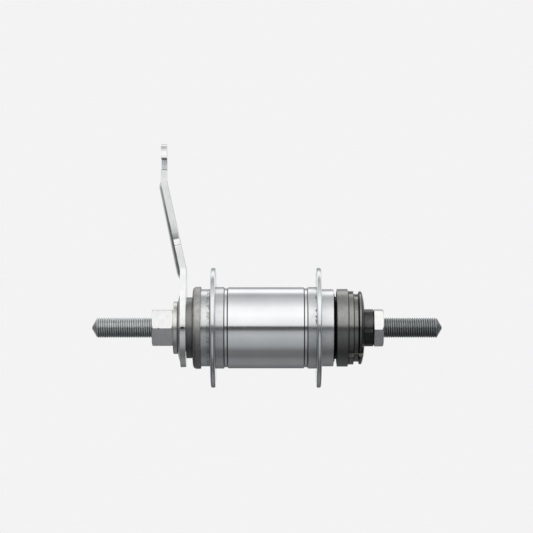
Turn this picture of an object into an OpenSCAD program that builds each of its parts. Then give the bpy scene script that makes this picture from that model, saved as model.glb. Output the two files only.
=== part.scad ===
// Coaster brake hub: a rear bicycle hub that brakes when it is pedalled backwards.
// The axle lies along Y. The brake arm is at the +Y end and stands up along +Z, the sprocket
// driver is at the -Y end. The origin is on the axle, midway between the two locknut faces.
// Lengths along the axle are written as stations: 0 at the origin, positive to the driver end.

/* [Axle] */
// How far the axle stands out past the arm locknut
axle_out_left = 28.6; // [20:0.2:40]
// How far the axle stands out past the right locknut
axle_out_right = 27.8; // [20:0.2:40]
// Diameter of the axle over its thread
axle_d = 9.5; // [8.5:0.1:9.5]
// Depth of the axle's thread
thread_depth = 0.65; // [0.55:0.05:0.7]
// How deep the plain middle of the axle lies below the thread's crests
axle_relief = 0.2; // [0.1:0.05:0.5]
// Included angle of the coned axle tips
tip_angle = 120; // [90:5:150]
// Play between the axle and what is screwed on it
thread_play = 0.05; // [0.02:0.01:0.1]

/* [Locknuts and washer] */
// Width of both hexagon nuts across their flats
nut_af = 17; // [15:0.5:19]
// Length of the arm locknut
arm_nut_h = 10; // [6:0.5:12]
// Thickness of the right locknut
right_nut_h = 4.5; // [3:0.5:6]
// Chamfer on the corners of the nuts
nut_chamfer = 0.9; // [0.4:0.1:1.4]
// How far the countersunk mouths of the nuts clear the thread's crests
nut_mouth_clear = 0.3; // [0.1:0.05:0.6]
// Turn of the arm locknut about the axle, in degrees
arm_nut_turn = 0; // [0:1:59]
// Turn of the right locknut about the axle, in degrees
right_nut_turn = 3.6; // [0:0.2:59]
// Diameter of the washer
washer_d = 25; // [21:0.5:28]
// Thickness of the washer
washer_h = 2.2; // [1.6:0.1:3]

/* [Brake arm] */
// Thickness of the arm plate
arm_t = 2.7; // [2.4:0.1:3.2]
// Height of the pressed boss round the axle, above the plate
boss_h = 1.4; // [1:0.1:1.8]
// Diameter of the flat top of the boss
boss_top_d = 25; // [23:0.5:27]
// Diameter of the round base of the arm
arm_base_d = 37.6; // [37:0.2:44]
// Flat rim left round the foot of the boss
boss_rim = 1.3; // [1:0.1:3]
// Height of the top of the arm above the axle
arm_top = 87.4; // [85:0.2:100]
// Sideways offset of the arm top from its base
arm_offset = 9.3; // [5:0.1:14]
// Height where the lower bend starts
bend_low = 26; // [22:0.5:30]
// Distance from the top of the arm down to the end of the upper bend
bend_down = 16.4; // [14:0.2:22]
// Radius of both bends
bend_r = 12; // [6:0.5:20]
// Width of the arm near its top
arm_w = 18; // [17:0.5:22]
// Width of the arm at the lower bend
arm_waist_w = 23; // [21:0.5:26]
// Radius of the corners at the arm top
arm_corner_r = 6.5; // [4:0.5:8]
// Height of the small step in the rear edge
step_z = 41; // [36:0.5:46]
// Depth of the small step in the rear edge
step_depth = 1.4; // [0.6:0.1:1.8]
// Depth of the punched dimple in the rear edge of the base
dimple_depth = 0.8; // [0.3:0.1:1.5]
// Diameter of the punched dimple
dimple_d = 1.9; // [1.4:0.1:2.2]

// Diameter of the keyed hole in the arm
key_hole_d = 17.2; // [16:0.1:18]
// Distance across the two flats of that hole
key_hole_flats = 14.2; // [13:0.1:15]

/* [Arm slot] */
// Width of the slot for the arm clip bolt
slot_w = 5.8; // [5:0.1:6.6]
// Distance from the top of the arm down to the middle of the slot
slot_down = 9.6; // [8.5:0.1:11]
// How far the round end of the slot lies past the middle of the arm
slot_past = 0.5; // [0:0.1:2]

/* [Pressed rib] */
// Radius of the round back of the rib
rib_r = 5.7; // [5:0.1:6.5]
// Height of the rib above the plate
rib_h = 2.2; // [1.5:0.1:2.5]
// How far the rib reaches below the start of the lower bend
rib_below = 4.5; // [0:0.5:5]
// How far the rib ends short of the end of the upper bend
rib_short = 2.5; // [2:0.5:12]

/* [Shell] */
// Wall of the shell round the left bearing
cup_wall = 1.12; // [0.9:0.02:2]
// Height of the shoulders that the flanges are pressed against
shoulder_h = 1.05; // [0.6:0.05:1.6]
// How much lower the shell is between its two grooves
barrel_fall = 0.1; // [0.05:0.05:0.3]
// Chamfer on the right end of the shell
end_chamfer = 1; // [0.4:0.1:1.4]
// Distance from each flange to its groove, middle to middle
groove_in = 6.05; // [4.5:0.05:9]
// Radius of the round bottom of the grooves
groove_r = 0.85; // [0.5:0.05:1.1]
// Depth of the grooves
groove_depth = 0.5; // [0.3:0.05:0.8]

// Thickness of the wall that carries the drive bearing
web_w = 3.6; // [2.4:0.1:3.8]
// Clearance round the driver's neck in that wall
web_clear = 0.9; // [0.4:0.1:1.2]

/* [Flanges] */
// Diameter of both spoke flanges
flange_d = 57.1; // [54:0.1:64]
// Thickness of both spoke flanges
flange_t = 2.3; // [1.8:0.1:2.8]
// Distance from the left end of the shell to the middle of the left flange
flange_in_left = 8; // [7:0.1:10]
// Distance from the right end of the shell to the middle of the right flange
flange_in_right = 7.5; // [6.5:0.1:9]
// Number of spoke holes in each flange
spoke_holes = 18; // [12:1:20]
// Distance from the rim of a flange in to the middles of its spoke holes
spoke_in = 3.35; // [2.6:0.05:5]
// Diameter of the spoke holes
spoke_hole_d = 2.7; // [2.2:0.1:3]
// Countersink of the spoke holes
spoke_sink = 0.45; // [0.2:0.05:0.6]

/* [Left side] */
// How far the dark collar that the arm lies against stands out from the neck inside it
collar_lip = 0.5; // [0.2:0.1:2]
// Length of that collar
collar_w = 2.7; // [2:0.1:3.5]
// Clearance between that neck, which carries the left dust cap, and the balls' circle
neck_clear = 0.8; // [0.6:0.05:0.9]
// Length of the left dust cap
left_cap_w = 4.3; // [3.6:0.1:5]
// Radius of the rounded corner of the left dust cap
left_cap_corner = 2; // [1:0.1:2.4]
// How far the left dust cap reaches over the shell
left_cap_over = 2.2; // [1.5:0.1:2.4]
// Wall of both dust caps
cap_wall = 0.85; // [0.7:0.05:1.2]

/* [Driver] */
// Diameter of the sprocket seat
seat_d = 35; // [34.6:0.1:35.4]
// Width of the sprocket seat
seat_w = 3.1; // [2.6:0.1:3.6]
// Depth of the snap ring groove
ring_groove_depth = 1.35; // [1:0.05:1.7]
// Width of the snap ring groove
ring_groove_w = 2.2; // [1.4:0.1:2.4]
// Width of the slotted lip outside the groove
lip_w = 3.1; // [2.8:0.1:3.6]
// Fall of the domed end face of the lip
lip_fall = 0.8; // [0.3:0.1:1.1]
// Number of lug slots
lug_slots = 3; // [2:1:4]
// Width of each lug slot
lug_w = 7; // [5:0.5:8]
// Depth of each lug slot below the seat
lug_depth = 2.1; // [1.4:0.1:2.2]
// Direction of the first lug slot, in degrees
lug_turn = 229; // [0:1:359]
// Diameter of the driver dust cap
driver_cap_d = 37; // [36.8:0.1:38.4]
// Width of the driver dust cap
driver_cap_w = 5.4; // [4.4:0.1:6]
// Gap between the shell and the driver dust cap
cap_gap = 0.5; // [0.3:0.1:0.8]
// Diameter of the driver where its dust cap is pressed on
driver_body_d = 29.8; // [29:0.1:31]
// How much wider the driver's mouth is than the cup of the right bearing, on its radius
mouth_step = 1.12; // [0.6:0.02:1.4]
// Rounding of the edges of the lip
lip_round = 1.1; // [0.6:0.1:1.4]

/* [Right cone] */
// Diameter of the part of the right cone that shows
cone_d = 17.7; // [17:0.1:18]
// Chamfer at the outer end of the right cone
cone_chamfer = 0.6; // [0.3:0.1:1]
// Length of the right cone that stands out of the driver
cone_out = 4.5; // [4:0.1:6]
// Depth of the two spanner flats of the right cone
cone_flat_depth = 0.65; // [0.4:0.05:1.4]
// Thickness of the dust cap on the right cone
cone_cap_w = 1.2; // [0.8:0.1:1.4]

/* [Left bearing] */
// Diameter of the balls
left_ball_d = 4.76; // [4.7:0.01:4.8]
// Number of balls
left_ball_n = 16; // [12:1:17]
// How far inside the brake track the circle of ball centres lies
left_pitch_in = 0.8; // [0.6:0.05:1]
// Clearance between the left dust cap and the ball cage
left_cage_clear = 0.77; // [0.5:0.01:1]

/* [Drive bearing] */
// Diameter of the balls
drive_ball_d = 6.35; // [6.2:0.01:6.4]
// Number of balls
drive_ball_n = 10; // [8:1:11]
// Diameter of the circle of ball centres
drive_pitch_d = 25.2; // [24.8:0.1:25.6]
// Distance from the right end of the shell to the ball centres
drive_ball_in = 4.4; // [4.2:0.05:4.8]

/* [Right bearing] */
// Diameter of the balls
right_ball_d = 4.76; // [4.7:0.01:4.8]
// Number of balls
right_ball_n = 11; // [9:1:12]
// Diameter of the circle of ball centres
right_pitch_d = 20; // [19.8:0.1:20.4]
// Clearance between the cone's dust cap and the ball cage
right_cage_clear = 0.5; // [0.3:0.05:0.8]

/* [Ball cages] */
// Wall of the cages
cage_wall = 1.1; // [0.9:0.05:1.2]
// How far outside the balls' circle the wall starts
cage_out = 0.15; // [0.1:0.05:0.3]
// How far the cages reach past the balls at the back
cage_back = 0.925; // [0.6:0.025:1]
// How far the cages reach past the balls' centres at the front
cage_front = 0.55; // [0.3:0.05:0.7]

/* [Brake and clutch] */
// Slope of the two brake tapers, in degrees
taper_angle = 20; // [16:1:22]
// Slope of the drive taper, in degrees
drive_angle = 12; // [10:1:13]
// Largest diameter of the two brake tapers
taper_big_d = 24.2; // [23.6:0.1:24.4]
// Smallest diameter of the two brake tapers
taper_small_d = 18; // [17.8:0.1:19]
// Travel of the clutch cone from rest to full brake
brake_travel = 2.4; // [1.6:0.1:2.6]
// Travel of the clutch cone from rest to full drive
drive_travel = 0.8; // [0.5:0.1:1]
// Lead of the driver's screw
screw_lead = 24; // [20:1:30]
// Number of starts of the driver's screw
screw_starts = 4; // [3:1:5]
// Diameter over the screw's ridges
screw_d = 15.2; // [14.8:0.1:15.4]
// Diameter between the screw's ridges
screw_core_d = 13; // [12.8:0.1:13.2]
// Play between the screw and the clutch cone
screw_play = 0.25; // [0.2:0.05:0.3]
// Clearance between the big end of the drive taper and the brake track
drive_clear = 0.6; // [0.5:0.05:0.8]
// Length of the drive taper
drive_taper_w = 9.5; // [8:0.1:10]
// Diameter of the wire of the clutch spring
spring_wire_d = 1.2; // [0.8:0.1:1.3]
// Clearance between the leg of the clutch spring and the brake cone at full brake
leg_clear = 2.2; // [1:0.1:5]

/* [Brake shoes] */
// Diameter over the four closed brake shoes
shoe_d = 30.1; // [29.9:0.1:30.2]
// Length of the brake shoes, which also sets the length of the hub
shoe_len = 30; // [26:0.5:36]
// How far the bore of the shoes lies outside the small ends of the tapers
shoe_bore_out = 0.9; // [0.8:0.05:1.2]
// Distance from the centres of the left balls to the brake shoes
shoe_in = 8.2; // [7.5:0.1:10]
// How far the tapers reach into the brake shoes at rest
taper_in = 1.4; // [0.8:0.1:2]
// Width of the keys that hold the shoes from turning
key_w = 3.6; // [2.6:0.1:4]
// Play between a key and the shoes on each side of it
key_play = 0.3; // [0.25:0.05:0.5]
// Play between the shoes and each taper
taper_play = 0.25; // [0.2:0.05:0.35]
// Play between the shoes at full brake and the shell
shoe_play = 0.11; // [0.08:0.01:0.2]

/* [Hidden] */
$fn = 72;

// Clearances: running faces, pressed seats and balls in their races
run_gap = 0.3;
press_gap = 0.01;
// Radius of the axle under what is screwed on it, which stands for the thread's root
root_r = axle_d / 2 - thread_depth;
threaded_r = root_r + thread_play;
ball_gap = 0.1;
pocket_play = 0.12;
// How far a cutter reaches past the face that it cuts
over = 0.5;

// Race radii
left_race_r = left_ball_d / 2 + ball_gap;
drive_race_r = drive_ball_d / 2 + ball_gap;
right_race_r = right_ball_d / 2 + ball_gap;

// Radii of the brake and the clutch. The track is as wide as the shoes at full brake.
taper_run = (taper_big_d - taper_small_d) / 2 / tan(taper_angle);
shoe_lift = brake_travel / 2 * tan(taper_angle);
track_r = shoe_d / 2 + shoe_lift + shoe_play;
key_r = taper_big_d / 2;
taper_gap = taper_play / cos(taper_angle);
drive_big_r = track_r - drive_clear;
drive_gap = drive_travel * tan(drive_angle) + 0.13;

// Radii of the shell, the left side and the driver, from the inside out
left_pitch_d = 2 * (track_r - left_pitch_in);
neck_r = left_pitch_d / 2 - neck_clear;
collar_r = neck_r + collar_lip;
left_cup_r = left_pitch_d / 2 + left_race_r;
end_r = left_cup_r + cup_wall;
step_r = end_r + shoulder_h;
left_cap_r = end_r + run_gap + cap_wall;
driver_neck_r = drive_pitch_d / 2 - drive_race_r - 0.02;
web_hole_r = driver_neck_r + web_clear;
right_cup_r = right_pitch_d / 2 + right_race_r;
mouth_r = right_cup_r + mouth_step;
seat_r = seat_d / 2;

// Lengths of the three stretches between the locknut faces
end_play = 0.5;
taper_land = 0.6;
left_w = arm_nut_h + washer_h + boss_h + arm_t + collar_w + left_cap_w - left_cap_over;
left_ball_from_cap = cap_wall + left_cage_clear + left_ball_d / 2 + cage_back;
left_ball_in = left_ball_from_cap - left_cap_w + left_cap_over;
clutch_w = taper_in + taper_land + drive_taper_w;
drive_ball_from_clutch = 2 * end_play + drive_travel + web_w + drive_race_r;
shell_w = left_ball_in + shoe_in + shoe_len + clutch_w + drive_ball_from_clutch + drive_ball_in;
right_w = cap_gap + driver_cap_w + seat_w + ring_groove_w + lip_w + cone_out + right_nut_h;
over_nut_w = left_w + shell_w + right_w;

// Stations from the arm locknut to the driver's bearing
left_face = -over_nut_w / 2;
washer_at = left_face + arm_nut_h;
boss_at = washer_at + washer_h;
plate_at = boss_at + boss_h;
collar_at = plate_at + arm_t;
left_cap_at = collar_at + collar_w;
shell_left = left_cap_at + left_cap_w - left_cap_over;
flange_left_at = shell_left + flange_in_left;
left_ball_at = shell_left + left_ball_in;
shoe_left = left_ball_at + shoe_in;
shoe_right = shoe_left + shoe_len;
brake_taper_at = shoe_left - taper_in;
brake_nose_at = brake_taper_at + taper_run;
clutch_taper_at = shoe_right + taper_in;
clutch_nose_at = clutch_taper_at - taper_run;
drive_taper_at = clutch_taper_at + taper_land;
clutch_right = drive_taper_at + drive_taper_w;
drive_ball_at = clutch_right + drive_ball_from_clutch;

// Stations from there to the right locknut
shell_right = drive_ball_at + drive_ball_in;
flange_right_at = shell_right - flange_in_right;
driver_cap_at = shell_right + cap_gap;
seat_at = driver_cap_at + driver_cap_w;
ring_groove_at = seat_at + seat_w;
lip_at = ring_groove_at + ring_groove_w;
driver_end = lip_at + lip_w;
right_ball_at = driver_end - cone_cap_w - right_cage_clear - right_ball_d / 2 - cage_back;
right_nut_at = driver_end + cone_out;
right_face = right_nut_at + right_nut_h;

// Nose of the clutch cone, where its spring sits
nose_w = 3.5;
clutch_left = clutch_nose_at - nose_w;
spring_r = taper_small_d / 2 - 0.5;
spring_at = clutch_left + nose_w / 2;

// Stations where the clutch cone's screw and the driver's screw begin
thread_from = clutch_nose_at + 1.7;
screw_at = thread_from + drive_travel + end_play;
// Where the driver's bore widens to take the inner end of the right cone
cup_at = right_ball_at - 4.8;

// The shell's drive taper, which starts where it meets the brake track
drive_cone_at = drive_taper_at + (drive_big_r + drive_gap - track_r) / tan(drive_angle);
shell_cone_end = clutch_right + drive_travel + end_play;
function shell_cone_r(s) = drive_big_r + drive_gap - (s - drive_taper_at) * tan(drive_angle);

// Puts a piece that is drawn along +Z, driver end up, on the axle
module on_axle(s = 0) {
    rotate([90, 0, 0]) translate([0, 0, s]) children();
}

// A turned piece from an outline in radius and station
module turned() {
    on_axle() rotate_extrude() children();
}

// Rounds an outline's corner at the given radius and station, which points out along x and y
module round_off(r, at_r, at_s, x, y) {
    translate([at_r - x * r, at_s - y * r])
        mirror([x < 0 ? 1 : 0, 0]) mirror([0, y < 0 ? 1 : 0])
            difference() {
                square(r + over);
                circle(r);
            }
}

// A rectangle in an outline, from one radius and station to another
module band(r1, r2, s1, s2) {
    translate([r1, s1]) square([r2 - r1, s2 - s1]);
}

// Fasteners and the arm

module axle() {
    r = axle_d / 2;
    half_tip = tan(tip_angle / 2);
    // The very ends are flattened
    flat_r = 0.6;
    left = left_face - axle_out_left;
    right = right_face + axle_out_right;
    color("#4d5052") turned() polygon([
        [0, left], [flat_r, left], [r, left + (r - flat_r) / half_tip],
        [r, left_face], [root_r, left_face], [root_r, brake_nose_at + end_play],
        [r - axle_relief, brake_nose_at + end_play], [r - axle_relief, cup_at],
        [root_r, cup_at], [root_r, right_face], [r, right_face],
        [r, right - (r - flat_r) / half_tip], [flat_r, right], [0, right]
    ]);
}

// Hexagon nut that stands on the origin, with the corners chamfered at both ends
module hex_nut(h, turn) {
    corner_r = nut_af / 2 / cos(30);
    fall = nut_chamfer * tan(30);
    mouth_r = axle_d / 2 + nut_mouth_clear;
    sink = mouth_r - threaded_r;
    rotate([0, 0, turn]) difference() {
        intersection() {
            cylinder(h = h, r = corner_r, $fn = 6);
            rotate_extrude() polygon([
                [0, 0], [corner_r - nut_chamfer, 0], [corner_r, fall],
                [corner_r, h - fall], [corner_r - nut_chamfer, h], [0, h]
            ]);
        }
        rotate_extrude() polygon([
            [0, -over], [mouth_r + over, -over], [threaded_r, sink],
            [threaded_r, h - sink], [mouth_r + over, h + over], [0, h + over]
        ]);
    }
}

module arm_locknut() {
    color("#d5d8da") on_axle(left_face) hex_nut(arm_nut_h, arm_nut_turn);
}

module right_locknut() {
    color("#d5d8da") on_axle(right_nut_at) hex_nut(right_nut_h, right_nut_turn);
}

module arm_washer() {
    edge = 0.7;
    color("#c9cdd0") turned() difference() {
        band(axle_d / 2 + thread_play, washer_d / 2, washer_at, boss_at);
        round_off(edge, washer_d / 2, washer_at, 1, -1);
        round_off(edge, washer_d / 2, boss_at, 1, 1);
    }
}

// Points along an arc, from one angle to another
function arc(x, y, r, a1, a2) = [
    for (i = [0:6])
    let (a = a1 + (a2 - a1) * i / 6)
    [x + r * cos(a), y + r * sin(a)]
];

// Slope of the arm between two bends that both have the bend radius inside
arm_high_at = plate_at - arm_offset;
bend_high = arm_top - bend_down;
slot_z = arm_top - slot_down;
bend_sum = 2 * bend_r + arm_t;
bend_rise = bend_high - bend_low;
bend_left = bend_sum - arm_offset;
arm_slope = asin(bend_sum / norm([bend_rise, bend_left])) - atan2(bend_left, bend_rise);

// The arm's section, station across and height up
module arm_section() {
    low_x = plate_at - bend_r;
    high_x = arm_high_at + arm_t + bend_r;
    polygon(concat(
        [[plate_at, -arm_base_d]],
        arc(low_x, bend_low, bend_r, 0, arm_slope),
        arc(high_x, bend_high, bend_r + arm_t, 180 + arm_slope, 180),
        [[arm_high_at, arm_top + over], [arm_high_at + arm_t, arm_top + over]],
        arc(high_x, bend_high, bend_r, 180, 180 + arm_slope),
        arc(low_x, bend_low, bend_r + arm_t, arm_slope, 0),
        [[collar_at, -arm_base_d]]
    ));
}

// The arm's outline seen along the axle, rear edge at minus x
module arm_face() {
    half = arm_w / 2;
    waist = arm_waist_w / 2;
    waist_z = bend_low + 2;
    // Where a line from the waist touches the round base
    touch = atan2(waist_z, waist) - acos(arm_base_d / 2 / norm([waist, waist_z]));
    touch_x = arm_base_d / 2 * cos(touch);
    touch_z = arm_base_d / 2 * sin(touch);
    difference() {
        union() {
            circle(arm_base_d / 2);
            polygon([
                [-touch_x, touch_z], [-waist, waist_z],
                [-half - step_depth, step_z - 2], [-half - 0.2, step_z],
                [-half + 0.35, step_z + 1], [-half + 0.2, step_z + 2.5], [-half, step_z + 6],
                [-half, arm_top - arm_corner_r], [-half + arm_corner_r, arm_top],
                [half - arm_corner_r, arm_top], [half, arm_top - arm_corner_r],
                [half, step_z + 6], [waist, waist_z], [touch_x, touch_z]
            ]);
            for (side = [-1, 1])
                translate([side * (half - arm_corner_r), arm_top - arm_corner_r]) circle(arm_corner_r);
        }
        translate([slot_past, slot_z]) circle(slot_w / 2);
        translate([-arm_w, slot_z - slot_w / 2]) square([arm_w + slot_past, slot_w]);
    }
}

// A bar with round ends along the arm's slant, centred under the rib
module arm_rib(r) {
    depth = rib_r - rib_h;
    // How far the rib's ends reach past the middles of its round ends
    reach = sqrt(rib_r * rib_r - depth * depth);
    low = bend_low - rib_below + reach;
    high = bend_high - rib_short - reach;
    mid = (low + high) / 2;
    half = (high - low) / 2 / cos(arm_slope);
    // Station of the slanted outer face at the rib's middle
    bend_end = [plate_at - bend_r + bend_r * cos(arm_slope), bend_low + bend_r * sin(arm_slope)];
    face = bend_end[0] - (mid - bend_end[1]) * tan(arm_slope);
    translate([0, -face - depth / cos(arm_slope), mid]) rotate([-arm_slope, 0, 0]) {
        translate([0, 0, -half]) cylinder(h = 2 * half, r = r);
        for (end = [-1, 1]) translate([0, 0, end * half]) sphere(r);
    }
}

// Hole and boss of the arm's key: a round with two flats
key_hole_play = 0.05;
module keyed(play) {
    intersection() {
        circle(key_hole_d / 2 + play);
        square([key_hole_flats + 2 * play, 2 * key_hole_d], center = true);
    }
}

module brake_arm() {
    boss_foot_r = arm_base_d / 2 - boss_rim;
    hollow_at = collar_at - boss_h;
    color("#d0d3d5") difference() {
        union() {
            intersection() {
                on_axle(left_face) linear_extrude(over_nut_w / 2) arm_face();
                rotate([90, 0, 90]) translate([0, 0, -arm_base_d])
                    linear_extrude(2 * arm_base_d) mirror([1, 0]) arm_section();
            }
            turned() polygon([
                [0, boss_at], [boss_top_d / 2, boss_at], [boss_foot_r, plate_at],
                [boss_foot_r, plate_at + arm_t / 2], [0, plate_at + arm_t / 2]
            ]);
            // The rib, cut off at the middle of the plate
            difference() {
                arm_rib(rib_r);
                rotate([90, 0, 90]) translate([0, 0, -arm_base_d])
                    linear_extrude(2 * arm_base_d) mirror([1, 0]) arm_inside();
            }
        }
        // Hollows behind the boss and behind the rib
        turned() polygon([
            [0, hollow_at], [boss_top_d / 2 - 0.9, hollow_at], [boss_foot_r - 1.1, collar_at],
            [boss_foot_r - 1.1, collar_at + over], [0, collar_at + over]
        ]);
        arm_rib(rib_r - arm_t);
        on_axle(left_face) linear_extrude(over_nut_w / 2) keyed(key_hole_play);
        // Dimple in the rear edge of the base
        on_axle((plate_at + collar_at) / 2) rotate([0, -90, 0])
            translate([0, 0, arm_base_d / 2 - dimple_depth]) cylinder(h = 2, d = dimple_d);
    }
}

// All that lies on the drive side of the middle of the arm's plate
module arm_inside() {
    half_t = arm_t / 2;
    low_x = plate_at - bend_r;
    high_x = arm_high_at + arm_t + bend_r;
    polygon(concat(
        [[plate_at + half_t, -arm_base_d]],
        arc(low_x, bend_low, bend_r + half_t, 0, arm_slope),
        arc(high_x, bend_high, bend_r + half_t, 180 + arm_slope, 180),
        [[arm_high_at + half_t, arm_top], [0, arm_top], [0, -arm_base_d]]
    ));
}

// Left side

module brake_cone() {
    spigot_at = collar_at - boss_h + press_gap;
    keyed_at = boss_at + 0.1;
    color("#55585a") difference() {
        union() {
            turned() difference() {
                polygon([
                    [0, collar_at], [collar_r, collar_at], [collar_r, left_cap_at],
                    [neck_r, left_cap_at], [neck_r, left_ball_at], [key_r, left_ball_at],
                    [key_r, brake_taper_at], [taper_small_d / 2, brake_nose_at], [0, brake_nose_at]
                ]);
                translate([left_pitch_d / 2, left_ball_at]) circle(left_race_r);
            }
            turned() band(0, boss_top_d / 2 - 1.2, spigot_at, collar_at + 1);
            on_axle(keyed_at) linear_extrude(spigot_at + 1 - keyed_at) keyed(0);
            // Keys between the shoes
            intersection() {
                turned() band(0, key_r, brake_taper_at - 1, brake_nose_at);
                on_axle(brake_taper_at - 1) for (a = [45, 135])
                    rotate([0, 0, a]) translate([-taper_big_d, -key_w / 2, 0])
                        cube([2 * taper_big_d, key_w, taper_run + 1]);
            }
        }
        turned() band(0, threaded_r, left_face, 0);
    }
}

module left_dust_cap() {
    r = left_cap_r;
    wall_end = left_cap_at + cap_wall;
    rim_end = left_cap_at + left_cap_w;
    color("#8b8c8a") turned() difference() {
        union() {
            band(neck_r + press_gap, r, left_cap_at, wall_end);
            band(end_r + run_gap, r, left_cap_at, rim_end);
        }
        round_off(left_cap_corner, r, left_cap_at, 1, -1);
        round_off(0.3, r, rim_end, 1, 1);
    }
}

// Shell and flanges

module hub_shell() {
    shell_r = step_r - barrel_fall;
    left_shoulder = flange_left_at + flange_t / 2;
    right_shoulder = flange_right_at - flange_t / 2;
    left_groove = flange_left_at + groove_in;
    right_groove = flange_right_at - groove_in;
    color("#c4c9cc") turned() difference() {
        polygon([
            [0, shell_left], [end_r, shell_left], [end_r, left_shoulder], [step_r, left_shoulder],
            [step_r, left_groove], [shell_r, left_groove], [shell_r, right_groove],
            [step_r, right_groove], [step_r, right_shoulder], [end_r, right_shoulder],
            [end_r, shell_right - end_chamfer], [end_r - end_chamfer, shell_right], [0, shell_right]
        ]);
        for (s = [left_groove, right_groove])
            translate([step_r - groove_depth + groove_r, s]) circle(groove_r);
        // Bore: left bearing, brake track, drive taper, web, drive bearing
        polygon([
            [0, shell_left - over], [left_cup_r, shell_left - over],
            [left_cup_r, left_ball_at], [track_r, left_ball_at],
            [track_r, drive_cone_at], [shell_cone_r(shell_cone_end), shell_cone_end],
            [web_hole_r, shell_cone_end], [web_hole_r, drive_ball_at],
            [drive_pitch_d / 2 + drive_race_r, drive_ball_at],
            [drive_pitch_d / 2 + drive_race_r, shell_right + over], [0, shell_right + over]
        ]);
        translate([left_pitch_d / 2, left_ball_at]) circle(left_race_r);
        translate([drive_pitch_d / 2, drive_ball_at]) circle(drive_race_r);
    }
}

module flange(at, turn) {
    rim = flange_t / 2 - 0.05;
    hole_r = spoke_hole_d / 2;
    half = flange_t / 2;
    color("#c4c9cc") difference() {
        turned() difference() {
            band(end_r + press_gap, flange_d / 2, at - half, at + half);
            round_off(rim, flange_d / 2, at - half, 1, -1);
            round_off(rim, flange_d / 2, at + half, 1, 1);
        }
        on_axle(at) for (i = [0:spoke_holes - 1])
            rotate([0, 0, turn + i * 360 / spoke_holes]) translate([flange_d / 2 - spoke_in, 0, 0]) {
                translate([0, 0, -flange_t]) cylinder(h = 2 * flange_t, r = hole_r);
                for (side = [0, 1]) mirror([0, 0, side])
                    translate([0, 0, half - spoke_sink])
                        cylinder(h = 2 * spoke_sink, r1 = hole_r, r2 = hole_r + 2 * spoke_sink);
            }
    }
}

module flange_left() {
    flange(flange_left_at, 90);
}

// The right flange's holes lie halfway between those of the left one
module flange_right() {
    flange(flange_right_at, 90 + 180 / spoke_holes);
}

// Bearings

module balls(ball_d, n, pitch_d, at) {
    color("#e1e3e4") on_axle(at) for (i = [0:n - 1])
        rotate([0, 0, i * 360 / n]) translate([pitch_d / 2, 0, 0]) sphere(d = ball_d, $fn = 48);
}

// Crown retainer: a ring with a round pocket for each ball, its back to the right or to the left
module cage(ball_d, n, pitch_d, at, side) {
    r = pitch_d / 2 + cage_out;
    back = ball_d / 2 + cage_back;
    color("#9a8f72") difference() {
        turned() translate([0, at]) mirror([0, side < 0 ? 1 : 0])
            band(r, r + cage_wall, -cage_front, back);
        on_axle(at) for (i = [0:n - 1])
            rotate([0, 0, i * 360 / n])
                translate([pitch_d / 2, 0, 0]) sphere(d = ball_d + 2 * pocket_play, $fn = 48);
    }
}

module left_balls() {
    balls(left_ball_d, left_ball_n, left_pitch_d, left_ball_at);
}

module left_ball_cage() {
    cage(left_ball_d, left_ball_n, left_pitch_d, left_ball_at, -1);
}

module drive_balls() {
    balls(drive_ball_d, drive_ball_n, drive_pitch_d, drive_ball_at);
}

module drive_ball_cage() {
    cage(drive_ball_d, drive_ball_n, drive_pitch_d, drive_ball_at, 1);
}

module right_balls() {
    balls(right_ball_d, right_ball_n, right_pitch_d, right_ball_at);
}

module right_ball_cage() {
    cage(right_ball_d, right_ball_n, right_pitch_d, right_ball_at, 1);
}

// Driver and its screw

// A bar that winds round the axle as the screw does, from one station to another
module helix_bar(r1, r2, w1, w2, s1, s2, turn) {
    steps = ceil((s2 - s1) / screw_lead * 30);
    ring = [[r1, -w1 / 2], [r2, -w2 / 2], [r2, w2 / 2], [r1, w1 / 2]];
    points = [
        for (i = [0:steps], p = ring)
        let (s = s1 + (s2 - s1) * i / steps, a = turn + (s - screw_at) / screw_lead * 360)
        [p[0] * cos(a), p[0] * sin(a), s + p[1]]
    ];
    sides = [
        for (i = [0:steps - 1], k = [0:3])
        let (a = 4 * i + k, b = 4 * i + (k + 1) % 4)
        each [[a, b, b + 4], [a, b + 4, a + 4]]
    ];
    last = 4 * steps;
    ends = [[3, 2, 1], [3, 1, 0], [last, last + 1, last + 2], [last, last + 2, last + 3]];
    on_axle() polyhedron(points = points, faces = concat(sides, ends), convexity = 4);
}

// Width of a ridge along the axle, at its foot and at its crest
ridge_foot = screw_lead / screw_starts * 0.55;
ridge_crest = screw_lead / screw_starts * 0.35;

// The screw's ridges, grown by the given play where they are cut into the clutch cone
module screw_starts_of(grow, s1, s2) {
    for (i = [0:screw_starts - 1])
        helix_bar(
            screw_core_d / 2 - 0.2, screw_d / 2 + grow,
            ridge_foot + 2.4 * grow, ridge_crest + 2.4 * grow,
            s1, s2, i * 360 / screw_starts
        );
}

// Station of the sloping end face of the driver and of the dust cap in its mouth, at a radius
dome_r = seat_r - lip_round;
function dome_at(r) = driver_end - lip_fall * (r - cone_d / 2) / (dome_r - cone_d / 2);

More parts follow.
